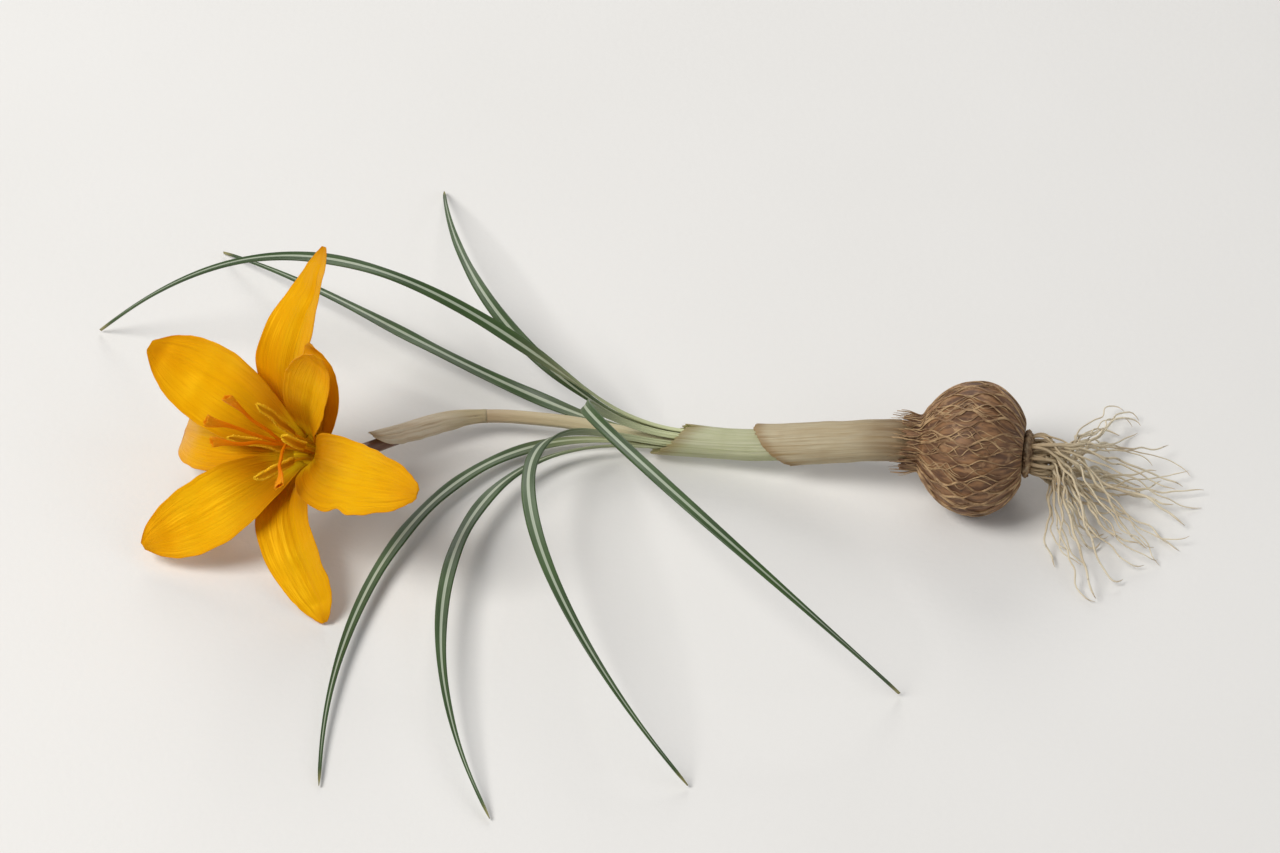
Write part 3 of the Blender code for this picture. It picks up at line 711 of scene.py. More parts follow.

# %% [markdown]
# ### Petal finish
#
# The petals are a clear golden yellow, satin and thin enough to let light through. Fine darker veins run
# from claw to tip, and margin and tip turn orange; on the inner petals the orange begins further down, as
# painted shade on tips that bend away from the light. The claw in the throat is olive, with painted light
# on it for the glow that comes through the petals, and the brown ring round it is partly the petal's own
# marking and partly painted shade round the throat. The coordinates follow the petal, so lines of equal
# distance from the rib already run together at both ends as veins do. The backs carry a feathered dark
# streak: a short olive one on an inner petal, and a brown one that runs nearly to the tip on an outer
# petal. Highlights on such a petal are golden and not white, so the specular tint is golden. The outer
# claws run down the flower tube, so their colour changes to the tube's purple-brown there.

# %% Colours of the flower
GOLD = (0.93, 0.505, 0.003)
PALE_GOLD = (0.96, 0.585, 0.007)
DEEP_GOLD = (0.82, 0.375, 0.002)
ORANGE = (0.77, 0.255, 0.003)
# the throat's olive, with painted light for the glow that comes through the petals
THROAT_OLIVE_WITH_PAINTED_LIGHT = (0.93, 0.71, 0.012)
# brown of the petals' base ring, there partly painted shade round the throat, and of the funnel's veins
BASE_BROWN_AND_SHADE = (0.47, 0.175, 0.002)
# the funnel's gold, with painted light for the glow that reaches the well through the petals
FUNNEL_GOLD_WITH_PAINTED_LIGHT = (0.96, 0.70, 0.012)
GOLD_THROUGH = (0.97, 0.50, 0.003)
GOLD_SHINE = (1.0, 0.70, 0.02, 1.0)
BACK_CLAW = (0.78, 0.50, 0.009)
BACK_OLIVE = (0.125, 0.092, 0.010)
BACK_BROWN = (0.115, 0.060, 0.012)
TUBE_PURPLE = (0.165, 0.082, 0.054)
TUBE_STREAK = (0.42, 0.29, 0.14)
TUBE_STREAKS = 26.0  # pale streaks in one turn of the tube
PURPLE_FROM = 0.0  # mm below the throat
PURPLE_TO = 6.0


def purple_coat(finish, depth, streaks):
    """The coat that turns gold into purple-brown with pale streaks, by the depth in mm below the throat."""
    purple = finish.coated(TUBE_PURPLE, (streaks.between(0.50, 0.75) * 0.4, TUBE_STREAK))
    return (depth + (streaks - 0.5) * 5.0).between(PURPLE_FROM, PURPLE_TO), purple


print("the tube turns purple within", PURPLE_TO - PURPLE_FROM, "mm")

# %% Finish of the petals
BLADE_LENGTH = 30.0  # mm, of a petal, for the depth of its claw below the throat


def petal_finish(name, streak=None, deeper=0.0, orange_tip_and_shade_from=0.88, brown=0.74):
    """Golden satin with veins.

    streak is for a back: its colour, and where along the petal it begins to fade and where it ends.
    deeper adds deep gold all over. Where the tip begins to turn orange is given as a fraction of the length;
    on the inner petals it begins early, as painted shade on tips that bend away from the light. brown is how
    strong the brown ring at the petal's base is, which is partly its own marking and partly painted shade.
    """
    finish = Finish(name, specular_ior_level=0.48, specular_tint=GOLD_SHINE)
    across, place = finish.surface_place()
    along = 1.0 - (1.0 - place) * LENGTH_SPAN
    side = (across * 2.0 - 1.0).size()
    fine = finish.lines(across * 95.0, along * 3.0)
    broad = finish.lines(across * 22.0, along * 1.6)
    dashes = finish.lines(across * 60.0, along * 9.0, 3.0)
    veins = fine.between(0.44, 0.72) * 0.6 + broad.between(0.38, 0.80) * 0.4
    coats = [
        (finish.grain(160.0, 2.0).between(0.35, 0.7) * 0.7, PALE_GOLD),
        (veins * 0.42 + deeper, DEEP_GOLD),
        (dashes.between(0.60, 0.74) * along.between(0.25, 0.6) * 0.4, ORANGE),
        # orange margin and tip; on the inner petals the tip's orange starts further down, as painted shade
        (side.between(0.88, 1.0) * 0.35 + along.between(orange_tip_and_shade_from, 1.0) * 0.50, ORANGE),
    ]
    if streak is None:
        # a brown ring round the base, partly the petal's own marking and partly painted shade round the
        # throat
        zone = along + (broad - 0.5) * 0.12
        ring = zone.between(0.05, 0.22) - zone.between(0.22, 0.60)
        coats.append((ring * (veins * 0.26 + brown), BASE_BROWN_AND_SHADE))
        # the claw's olive carries painted light for the glow through the petals
        coats.append(((1.0 - zone.between(0.05, 0.22)) * 0.85, THROAT_OLIVE_WITH_PAINTED_LIGHT))
    else:
        colour, fades, ends = streak
        feather = 1.0 - (side + (fine - 0.5) * 0.5).between(0.14, 0.50)
        reach = along.between(0.0, 0.12) - (along + (broad - 0.5) * 0.35).between(fades, ends)
        streaks = finish.lines(across * (TUBE_STREAKS * CLAW_ANGLE / 180.0), along * 9.0, 3.0)
        coats.append(((1.0 - along.between(0.0, 0.16)) * 0.6, BACK_CLAW))
        coats.append((feather * reach * (0.55 + fine * 0.5), colour))
        coats.append(purple_coat(finish, along * -BLADE_LENGTH, streaks))
    finish.paint(GOLD, *coats)
    finish.roughness(0.30 + veins * 0.14)
    finish.relief(veins, -0.00006)
    finish.let_light_through(GOLD_THROUGH, 0.25)
    return finish


petal_finishes = {
    "inner": [
        # the inner petals' tips turn orange from further down: painted shade on tips bending away from the
        # light
        petal_finish("petal_inside", orange_tip_and_shade_from=0.64),
        petal_finish("petal_back_inner", (BACK_OLIVE, 0.28, 0.55)),
    ],
    "outer": [
        petal_finish("petal_inside_outer", deeper=0.32, brown=0.45),
        petal_finish("petal_back_outer", (BACK_BROWN, 0.60, 0.95)),
    ],
}
for name in TEPALS:
    whorl = name.split("_")[1]
    make_piece(name + "_petal", [petal_skin(name)], petal_finishes[whorl], [name])

# %% [markdown]
# ## The shoot
#
# Bulb and flower are joined by the flower's own tube, which is the only stalk a crocus has. The leaves stand
# in a ring round it and two papery sheaths hold the bundle. All of them follow one path, so a function gives
# the place and directions at any distance along it.

# %% Smooth curves


def lengths_along(points):
    """How far along a polyline each of its points is."""
    return np.r_[0.0, np.cumsum(np.linalg.norm(np.diff(points, axis=0), axis=1))]


def evenly(points, count):
    """Points at equal steps along a polyline."""
    lengths = lengths_along(points)
    return points_at(np.linspace(0.0, lengths[-1], count), lengths, points)


def bezier(a, b, c, d, count=80):
    """Points along a cubic curve with its two handles."""
    t = np.linspace(0.0, 1.0, count)[:, None]
    return (1 - t) ** 3 * a + 3 * (1 - t) ** 2 * t * b + 3 * (1 - t) * t**2 * c + t**3 * d


def through(points, start, end):
    """A smooth curve through points that sets off along start and arrives along end."""
    points = np.asarray(points, float)
    chords = np.linalg.norm(np.diff(points, axis=0), axis=1)
    tangents = [start] + [unit(points[i + 1] - points[i - 1]) for i in range(1, len(points) - 1)] + [end]
    runs = []
    for i, reach in enumerate(chords / 3.0):
        here, there = points[i], points[i + 1]
        runs.append(bezier(here, here + tangents[i] * reach, there - tangents[i + 1] * reach, there))
    return np.concatenate([runs[0]] + [run[1:] for run in runs[1:]])


print("middle of an even curve:", bezier(0.0, 0.0, 1.0, 1.0, 3)[1].tolist())

# %% [markdown]
# ### Loops along a curve
#
# A loop needs two directions that cross its path. Worked out afresh at every point they would spin, so the
# top is carried from each point to the next and only straightened. A bevelled curve does this too, but its
# outline can't change along the way, and nearly everything on a plant tapers.

# %% Loops along a curve


def carried(path, top):
    """Tangent, side and top at each point of a path, with the top carried along without twisting."""
    tangents = unit(np.gradient(path, axis=0))
    tops = []
    for tangent in tangents:
        top = unit(top - tangent * (top @ tangent))
        tops.append(top)
    tops = np.array(tops)
    return tangents, np.cross(tangents, tops), tops


def around(sides):
    """Angles at equal steps round a circle."""
    return np.linspace(0.0, 2 * math.pi, sides, endpoint=False)


def ring_round(angles, first, second):
    """Directions at angles between two crossing directions."""
    return np.cos(angles)[..., None] * first + np.sin(angles)[..., None] * second


print("a ring of four:", ring_round(around(4), heading(0.0), UP).round(1).tolist())

# %% The path of the shoot
CORM_RADIUS = 11.0
CORM_SINK = 0.4  # how far the bulb's round side would dip into the table
CORM_CENTRE = np.array([0.0, 0.0, CORM_RADIUS - CORM_SINK])
CORM_SEAT = 8.1  # from the bulb's widest place to the foot of the shoot
CROWN_LENGTH = 6.5  # beyond that seat, where the coat stands round the shoot
TUBE_BEND = 8.0  # below the throat, where the tube already points along the flower's axis
SHOOT_ROUTE = [
    (-22.0, 3.4, 9.0),
    (-37.0, 6.4, 5.4),
    (-54.0, 10.2, 3.7),
    (-70.0, 13.4, 4.4),
    (-85.0, 14.0, 4.3),
]
SHOOT_POINTS = 320


def shoot_route():
    """A smooth curve along the middle of the shoot, from the bulb's seat to the throat."""
    seat = CORM_CENTRE + AWAY * (CORM_SEAT + GAP)
    before = THROAT - AXIS * TUBE_BEND
    return through([seat, seat + AWAY * CROWN_LENGTH, *np.array(SHOOT_ROUTE), before, THROAT], AWAY, AXIS)


SHOOT_LENGTH = lengths_along(shoot_route())[-1]
PATH = evenly(shoot_route(), SHOOT_POINTS)
TANGENTS, SIDES, TOPS = carried(PATH, UP)


def along_shoot(distance):
    """Places, tangents, sides and tops at distances along the shoot."""
    at = np.clip(distance / SHOOT_LENGTH, 0.0, 1.0) * (SHOOT_POINTS - 1)
    low = np.minimum(at.astype(int), SHOOT_POINTS - 2)
    part = (at - low)[..., None]
    return [rows[low] * (1 - part) + rows[low + 1] * part for rows in (PATH, TANGENTS, SIDES, TOPS)]


def shoot_rings(distances, radii, sides):
    """Loops round the shoot. A row of distances and of radii is one loop, and may change round it."""
    place, _, side, top = along_shoot(distances)
    return place + radii[..., None] * ring_round(around(sides), side, top)


print("shoot length in mm:", round(SHOOT_LENGTH, 1))

# %% [markdown]
# ### The flower tube
#
# It is as thin as a straw, pale below, flushed purple-brown towards the flower, and flares into the throat.
# The throat is a funnel and not a flat disc: its wall turns in between the claws and runs down to a narrow
# well, which is what gives the flower its depth.

# %% The tube and its funnel
TUBE_SIDES = 48
TUBE_ROWS = 110  # below the flare
FLARE_ROWS = 40
TUBE_RIBS = 6
RIB_HEIGHT = 0.05
# Height above the throat, and radius, over the lip and down the funnel inside
FUNNEL = [(0.02, 2.88), (-0.1, 2.7), (-0.45, 2.4), (-1.2, 2.05), (-3.0, 1.55), (-5.5, 1.1), (-8.0, 0.75)]


def tube_skin():
    """The tube's outer wall in look 0, and in look 1 its lip and the funnel inside."""
    neck = SHOOT_LENGTH - TUBE_FLARE
    distances = np.r_[np.linspace(0.0, neck, TUBE_ROWS), np.linspace(neck, SHOOT_LENGTH, FLARE_ROWS)[1:]]
    ribs = RIB_HEIGHT * np.cos(TUBE_RIBS * around(TUBE_SIDES))
    wall = shoot_rings(distances[:, None], tube_wall(SHOOT_LENGTH - distances)[:, None] + ribs, TUBE_SIDES)
    out = unit(wall[-1] - THROAT)
    funnel = [THROAT + AXIS * height + out * radius for height, radius in FUNNEL]
    vs = np.r_[distances / SHOOT_LENGTH, np.ones(len(FUNNEL))]
    points, faces, places, looks = skin(np.concatenate([wall, funnel]), vs=vs)
    outside = (len(wall) - 1) * TUBE_SIDES
    return points, faces, places, looks[:outside] + [1] * (len(looks) - outside)


print("loops of the tube:", TUBE_ROWS + FLARE_ROWS - 1)

# %% [markdown]
# ### Finish of the tube
#
# The tube changes colour along its length: creamy in the sheath, then tan, purple-brown below the flower
# and gold at the throat. Its last change is a coat that the petals' claws have as well, so both turn at the
# same depth. Streaks drawn out along the tube stand for the veins that run up into the petals.

# %% Finish of the tube and its funnel


def tube_finish():
    """Pale below, then purple-brown with pale streaks, and gold at the throat."""
    finish = Finish("tube", roughness=0.45, specular_ior_level=0.3)
    across, along = finish.surface_place()
    streaks = finish.lines(across * TUBE_STREAKS, along * 30.0, 3.0)
    lower = finish.ramp(
        along + (streaks - 0.5) * 0.08,
        (0.0, (0.62, 0.58, 0.42)),
        (0.45, (0.52, 0.47, 0.29)),
        (0.68, (0.40, 0.30, 0.18)),
        (0.80, (0.24, 0.13, 0.10)),
        (0.88, TUBE_PURPLE),
    )
    purple = purple_coat(finish, (1.0 - along) * SHOOT_LENGTH, streaks)
    # the gold at the throat carries painted light for the glow through the petals
    upper = finish.coated(lower, (along.between(0.87, 0.90), FUNNEL_GOLD_WITH_PAINTED_LIGHT), purple)
    pale = streaks.between(0.52, 0.75) * (1.0 - along.between(0.6, 0.8)) * 0.4
    finish.paint(lower, (along.between(0.80, 0.88), upper), (pale, (0.60, 0.54, 0.36)))
    finish.relief(streaks, 0.00008)
    return finish


def funnel_finish():
    """Gold, painted light for the glow through the petals, with brown veins that run down into the well."""
    finish = Finish("funnel", roughness=0.5, specular_ior_level=0.3, specular_tint=GOLD_SHINE)
    across, along = finish.surface_place()
    veins = finish.lines(across * 60.0, along * 2.0)
    finish.paint(FUNNEL_GOLD_WITH_PAINTED_LIGHT, (veins.between(0.40, 0.65) * 0.5, BASE_BROWN_AND_SHADE))
    finish.relief(veins, 0.00006)
    return finish


make_piece("flower_tube_skin", [tube_skin()], [tube_finish(), funnel_finish()], ["flower_tube"])

# %% [markdown]
# ## Stamens
#
# Each has a smooth yellow filament and a long anther. A ripe anther has split along both edges, and its
# pollen clings there in a fuzzy golden line round a darker face. The anther is a body with four lobes, and
# the pollen is hundreds of tiny balls, because a bump in the finish would leave its outline smooth.

# %% Filaments
STAMENS = {  # azimuth and radius of the tip, and its height
    "stamen_1": (331.0, 5.1, 16.0),
    "stamen_2": (62.0, 5.4, 15.5),
    "stamen_3": (146.0, 7.0, 15.0),
    "stamen_4": (236.0, 5.2, 16.0),
}
WELL_DEPTH = 1.6
STAMEN_RING = 1.35
STAMEN_ROWS = 90
ANTHER_START = 0.27  # of the stamen's length
ANTHER_OVERLAP = 0.06  # of that length, for which the filament runs on inside the anther
FILAMENT_RADIUS = 0.30
FILAMENT_TAPER = 0.5
FILAMENT_SIDES = 12
FOOT_OUT = 0.35  # how far a filament's foot leans into the funnel's wall
FOOT_DOWN = 1.7
FOOT_STEPS = np.array([1.0, 0.6, 0.25])


def rod(path, first, second, radii, sides):
    """Round loops along a path."""
    angles = around(sides)
    return swept(path, first, second, np.outer(radii, np.cos(angles)), np.outer(radii, np.sin(angles)))


def flower_route(route, count):
    """Evenly spaced points of a route in the flower, with directions across it and away from the axis."""
    path = evenly(route, count)
    tip = path[-1] - THROAT
    _, across, facing = carried(path, unit(tip - AXIS * (tip @ AXIS)))
    return path, across, facing


def stamen_route(azimuth, radius, height):
    """The middle line of a stamen, from the funnel to its tip."""
    out = clock(azimuth)
    foot = THROAT + out * STAMEN_RING - AXIS * (WELL_DEPTH - GAP)
    tip = THROAT + out * radius + AXIS * height
    return bezier(foot, foot + AXIS * height * 0.4, tip - AXIS * height * 0.35 - out * radius * 0.2, tip)


def filament_skin(azimuth, path, across, facing, steps):
    """A tapering rod whose foot runs down into the funnel."""
    radii = FILAMENT_RADIUS * (1.05 - FILAMENT_TAPER * steps)
    rings = rod(path, across, facing, radii, FILAMENT_SIDES)
    sink = clock(azimuth) * FOOT_OUT - AXIS * FOOT_DOWN
    return skin(np.concatenate([rings[:1] + sink * FOOT_STEPS[:, None, None], rings]))


print("stamens:", len(STAMENS))

# %% [markdown]
# ### Grains
#
# Pollen is hundreds of balls, and an object of its own for each would be slow and hard to handle. So one
# ball of twenty triangles is worked out from the golden ratio, its corners are copied to every centre at
# once, and all grains of a stamen end up in its mesh. Seen from so far away, more triangles would not show.

# %% Grains
GOLDEN = (1 + math.sqrt(5)) / 2
BALL = unit(np.array([(a, b * GOLDEN, 0) for a in (-1, 1) for b in (-1, 1)]))
BALL = np.concatenate([BALL, np.roll(BALL, 1, axis=1), np.roll(BALL, 2, axis=1)])
BALL_GAPS = np.linalg.norm(BALL[:, None] - BALL[None], axis=2)
BALL_SIDE = BALL_GAPS[BALL_GAPS > 0.01].min() * 1.01
TRIPLES = itertools.combinations(range(len(BALL)), 3)
BALL_FACES = [list(triple) for triple in TRIPLES if BALL_GAPS[np.ix_(triple, triple)].max() < BALL_SIDE]


def grains(centres, radii, look):
    """Small balls, such as grains of pollen."""
    points = (centres[:, None] + BALL[None] * radii[:, None, None]).reshape(-1, 3)
    starts = range(0, len(points), len(BALL))
    faces = [[start + corner for corner in face] for start in starts for face in BALL_FACES]
    return points, faces, np.full((3 * len(faces), 2), 0.5), [look] * len(faces)


print("ball:", len(BALL), "corners and", len(BALL_FACES), "triangles")

# %% Anthers and pollen
ANTHER_TURNS = {  # degrees about an anther's length
    "stamen_1": 66.0,
    "stamen_2": 12.0,
    "stamen_3": -58.0,
    "stamen_4": 12.0,
}
ANTHER_HALF = 0.68
ANTHER_THICK = 0.32
ANTHER_SIDES = 32
ANTHER_CURL = 0.12
ANTHER_TWIST = 0.03
SPLIT_DEPTH = 0.20  # along both edges of an anther
FACE_DEPTH = 0.30  # between its lobes, on both faces
ANTHER_SLIMMING = 0.18  # how much slimmer it is at its tip
POLLEN_GRAINS = 800
POLLEN_RADIUS = 0.075
POLLEN_BAND = 0.12  # half the thickness of the fuzzy line
POLLEN_SCATTER = 0.05


def stamen_skins(name):
    """Filament, four-lobed anther and pollen: looks 0, 1 and 2."""
    draw = seeded(name)
    path, across, facing = flower_route(stamen_route(*STAMENS[name]), STAMEN_ROWS)
    steps = np.linspace(0.0, 1.0, STAMEN_ROWS)
    below = steps < ANTHER_START + ANTHER_OVERLAP
    filament = filament_skin(STAMENS[name][0], path[below], across[below], facing[below], steps[below])
    above = steps >= ANTHER_START
    part = (steps[above] - ANTHER_START) / (1.0 - ANTHER_START)
    curl = smooth_random(draw, part.size, 14) * ANTHER_CURL
    twist = np.cumsum(smooth_random(draw, part.size, 10)) * ANTHER_TWIST + math.radians(ANTHER_TURNS[name])
    across, facing = turned(across[above], facing[above], twist[:, None])
    middle = path[above] + across * curl[:, None]
    full = ease(part / 0.10) ** 0.6 * (1.0 - ease((part - 0.80) / 0.20)) ** 0.55 * 0.96 + 0.04
    half = ANTHER_HALF * full * (1.0 - ANTHER_SLIMMING * part)
    angles = around(ANTHER_SIDES)
    lobes = 1.0 - SPLIT_DEPTH * np.abs(np.cos(angles)) ** 14 - FACE_DEPTH * np.abs(np.sin(angles)) ** 10
    wide = np.outer(half, np.cos(angles) * lobes)
    deep = np.outer(half, np.sin(angles) * lobes) * ANTHER_THICK / ANTHER_HALF
    u = np.r_[0.5 + 0.5 * np.cos(angles), 1.0]
    anther = skin(swept(middle, across, facing, wide, deep), u, part, np.ones(ANTHER_SIDES, int))
    row = (draw.uniform(0.02, 0.98, POLLEN_GRAINS) * (part.size - 1)).astype(int)
    edge = draw.choice([-1.0, 1.0], POLLEN_GRAINS)[:, None]
    reach = half[row][:, None] * draw.uniform(0.84, 1.12, (POLLEN_GRAINS, 1))
    off = draw.normal(0.0, POLLEN_BAND, (POLLEN_GRAINS, 1))
    centres = middle[row] + across[row] * edge * reach + facing[row] * off
    centres += draw.normal(0.0, POLLEN_SCATTER, centres.shape)
    pollen = grains(centres, POLLEN_RADIUS * draw.uniform(0.7, 1.25, POLLEN_GRAINS), 2)
    return [filament, anther, pollen]


print("grains of pollen:", POLLEN_GRAINS * len(STAMENS))

# %% [markdown]
# ### Finish of the stamens
#
# A filament is smooth and deeper in colour at its foot. An anther's face is dull where it has dried and
# yellow along its split edges, so its colour follows the coordinate across it. Pollen takes no sharp light:
# it is rough, hardly shines and has two tones, in a noise about as fine as its grains.

# %% Finish of the stamens


def filament_finish():
    """Smooth yellow, deeper at its foot."""
    finish = Finish("filament", roughness=0.4, specular_tint=GOLD_SHINE)
    _, along = finish.surface_place()
    finish.paint(finish.ramp(along, (0.0, (0.66, 0.36, 0.008)), (1.0, (0.92, 0.54, 0.02))))
    finish.relief(finish.grain(3000.0, 1.0), 0.00002)
    return finish


def anther_finish():
    """A dull olive face between two yellow edges."""
    finish = Finish("anther", roughness=0.7, specular_ior_level=0.3, specular_tint=GOLD_SHINE)
    across, _ = finish.surface_place()
    edges = (across * 2.0 - 1.0).size().between(0.40, 0.8)
    speckle = finish.grain(5200.0, 2.0)
    specks = speckle.between(0.55, 0.8) * 0.4
    finish.paint((0.60, 0.27, 0.006), (edges, (0.94, 0.58, 0.012)), (specks, (0.90, 0.56, 0.02)))
    finish.relief(speckle, 0.00006)
    return finish


def dust_finish(name, roughness, scale, deep, pale):
    """Matt dust in two tones."""
    finish = Finish(name, roughness=roughness, specular_ior_level=0.2, specular_tint=GOLD_SHINE)
    finish.paint(deep, (finish.grain(scale, 1.0), pale))
    return finish


pollen_dust = dust_finish("pollen", 0.9, 2600.0, (0.95, 0.58, 0.012), (0.99, 0.70, 0.05))
stamen_finishes = [filament_finish(), anther_finish(), pollen_dust]
for name in STAMENS:
    make_piece(name + "_body", stamen_skins(name), stamen_finishes, [name])

# %% [markdown]
# ## Style
#
# One thin style rises from the funnel and parts into orange branches. Each widens upwards like a narrow
# trumpet, and its mouth is frilled and set with fine papillae that catch the pollen. A loop travels up each
# branch, flattens and opens, and the last loops fold back inside to make the trumpet hollow.

# %% Style and its branches
STYLE_FORK = 7.0
STYLE_BRANCHES = [  # azimuth, radius and height of a branch's tip
    (312.0, 5.6, 21.5),
    (262.0, 4.8, 22.5),
    (214.0, 4.6, 21.0),
    (116.0, 9.6, 14.5),
]
STYLE_SIDES = 24
STYLE_RADIUS = 0.42
STEM_ROWS = 40
STEM_END = (0.93, 0.75, 0.3)  # of the radius, in the last rows of the stem
STEM_SHARE = 0.25  # of the coordinate along the style
BRANCH_ROWS = 70
BRANCH_RADIUS = 0.27
BRANCH_WANDER = 0.25
MOUTH_HALF = 0.85
MOUTH_THICK = 0.36
MOUTH_INSIDE = [(0.8, 0.1), (0.55, 0.8), (0.2, 1.6)]  # share of the rim, and depth below it
FRILLS = 7
CRIMP = 0.16  # of the radius, by which the frills fold the mouth in and out
RIM_FRILL = 0.22  # and by how many mm they raise its rim
RIM_RISE = 0.1


def branch_rings(draw, fork, azimuth, radius, height):
    """The loops of one branch: up the outside, over the frilled rim and down into the mouth."""
    tip = THROAT + clock(azimuth) * radius + AXIS * height
    start = fork - AXIS * 0.6
    third = (tip - start) * 0.3
    route = bezier(start, start + third + AXIS * 1.5, tip - third + AXIS * 0.6, tip)
    path, across, facing = flower_route(route, BRANCH_ROWS)
    steps = np.linspace(0.0, 1.0, BRANCH_ROWS)
    path = path + across * (smooth_random(draw, BRANCH_ROWS, 16) * BRANCH_WANDER * ease(steps * 2))[:, None]
    open_up = ease((steps - 0.62) / 0.38)
    wide = BRANCH_RADIUS * (1.0 + 0.25 * steps) + (MOUTH_HALF - BRANCH_RADIUS) * open_up**1.5
    deep = BRANCH_RADIUS + (MOUTH_THICK - BRANCH_RADIUS) * open_up
    angles = around(STYLE_SIDES)
    frill = np.sin(FRILLS * angles + draw.uniform(0, 6)) * 0.6 + np.sin(3 * angles + draw.uniform(0, 6)) * 0.4
    crimp = 1.0 + CRIMP * frill * ease((steps - 0.80) / 0.2)[:, None]
    x = wide[:, None] * np.cos(angles) * crimp
    y = deep[:, None] * np.sin(angles) * crimp
    rings = swept(path, across, facing, x, y)
    ahead = unit(path[-1] - path[-2])
    rim = rings[-1] + ahead * (RIM_FRILL * frill + RIM_RISE)[:, None]
    inside = [path[-1] + (rim - path[-1]) * share - ahead * drop for share, drop in MOUTH_INSIDE]
    return np.concatenate([rings, [rim, *inside]])


print("branches:", len(STYLE_BRANCHES))

# %% [markdown]
# ### Papillae
#
# The papillae are small balls like the pollen. They stand thickest at the rim of each mouth and thin out
# below it, so their rows are drawn from a spread that falls off quickly. A second look in the same mesh
# gives them their paler, rougher finish.

# %% Papillae, and the whole style
STYLE_SEED = 31
PAPILLAE = 170  # on each branch
PAPILLA_RADIUS = 0.055
PAPILLA_FALL = 3.2  # rows below the rim at which they have thinned out to about a third
PAPILLA_ROWS = 16
PAPILLA_SCATTER = 0.05


def style_skins():
    """The stem and the branches in look 0, with their papillae in look 1."""
    draw = np.random.default_rng(STYLE_SEED)
    foot = THROAT - AXIS * (WELL_DEPTH - GAP)
    fork = THROAT + AXIS * STYLE_FORK
    stem = bezier(foot - AXIS * 4, foot + AXIS * 2, fork - AXIS * 2, fork + AXIS * 0.1, STEM_ROWS)
    radii = STYLE_RADIUS * np.r_[np.ones(STEM_ROWS - len(STEM_END)), STEM_END]
    rings = rod(stem, TOP[None], RIGHT[None], radii, STYLE_SIDES)
    skins = [skin(rings, vs=np.linspace(0.0, STEM_SHARE, STEM_ROWS))]
    steps = np.linspace(0.0, 1.0, BRANCH_ROWS)
    dust = []
    for branch in STYLE_BRANCHES:
        rings = branch_rings(draw, fork, *branch)
        skins.append(skin(rings, vs=np.r_[STEM_SHARE + 0.72 * steps, 1.0, 0.97, 0.85, 0.7]))
        spots = draw.integers(0, STYLE_SIDES, PAPILLAE)
        rows = BRANCH_ROWS - 1 - draw.exponential(PAPILLA_FALL, PAPILLAE).astype(int).clip(0, PAPILLA_ROWS)
        dust.append(rings[rows, spots])
    dust = np.concatenate(dust)
    dust += draw.normal(0.0, PAPILLA_SCATTER, dust.shape)
    skins.append(grains(dust, PAPILLA_RADIUS * draw.uniform(0.6, 1.3, len(dust)), 1))
    return skins


def style_finish():
    """Satin orange, deeper towards the branches' mouths."""
    finish = Finish("style", roughness=0.45, specular_ior_level=0.35, specular_tint=GOLD_SHINE)
    across, along = finish.surface_place()
    streaks = finish.lines(across * 14.0, along * 6.0)
    body = finish.ramp(
        along,
        (0.0, (0.78, 0.42, 0.006)),
        (0.3, (0.82, 0.29, 0.003)),
        (0.75, (0.84, 0.225, 0.002)),
        (1.0, (0.92, 0.38, 0.008)),
    )
    finish.paint(body, (streaks.between(0.45, 0.75) * 0.4, (0.86, 0.33, 0.006)))
    finish.relief(streaks, 0.00005)
    finish.let_light_through((0.92, 0.32, 0.006), 0.25)
    return finish


fuzz = dust_finish("papillae", 0.8, 2500.0, (0.90, 0.34, 0.008), (0.96, 0.52, 0.04))
make_piece("style_body", style_skins(), [style_finish(), fuzz], ["style"])

# %% [markdown]
# ## Bract
#
# A withered papery bract clasps the tube below the flower. It is silvery brown, thinner than paper, puckered
# between its veins and drawn out to a point. It is a sheet wrapped round the shoot's path, so that it follows
# the tube's bend by itself.

# %% The form of the bract
BRACT_SEED = 8
BRACT_START = 36.0  # before the throat
BRACT_LENGTH = 21.0
BRACT_WRAP = 133.0  # degrees to each side of its middle
BRACT_FLARE = 0.9
BRACT_SIDE = 75.0  # degrees round the tube, where its middle is
BRACT_PAPER = 0.12
BRACT_CLEAR = 0.07  # of its foot above the tube
BRACT_SWELL = 0.45
BRACT_PUCKER = 0.09
BRACT_RIPPLE = 0.06
BRACT_WAVER = 0.06  # of its margins
BRACT_ROWS = 70
BRACT_COLUMNS = 49


def bract_skin():
    """The bract, with pucker and a wavering margin, drawn to a point."""
    draw = np.random.default_rng(BRACT_SEED)
    steps = np.linspace(0.0, 0.995, BRACT_ROWS)
    sides = np.linspace(-1.0, 1.0, BRACT_COLUMNS)
    lines = smooth_random(draw, BRACT_COLUMNS, 2)
    margin = smooth_random(draw, BRACT_ROWS, 4)[:, None] * BRACT_WAVER
    part = steps[:, None]
    place, _, side, top = along_shoot(SHOOT_LENGTH - BRACT_START + part * BRACT_LENGTH)
    wrap = BRACT_WRAP * (0.94 * (1.0 - part**2.2) ** 0.5 + 0.06) * (1.0 + margin)
    pucker = BRACT_PUCKER * lines * (0.6 + 0.4 * np.sin(part * 17.0))
    pucker = pucker + BRACT_RIPPLE * np.sin(9 * sides + 11 * part)
    radius = TUBE_RADIUS + BRACT_CLEAR + BRACT_SWELL * ease(part / 0.4) + BRACT_FLARE * part**2
    radius = radius + pucker * ease(part / 0.12)
    grid = place + radius[..., None] * ring_round(np.radians(BRACT_SIDE + wrap * sides), side, top)
    thick = BRACT_PAPER * (0.2 + 0.8 * ease(part / 0.15))
    return sheet_skin(grid, surface_normals(grid), thick, steps)


print("bract length in mm:", BRACT_LENGTH)

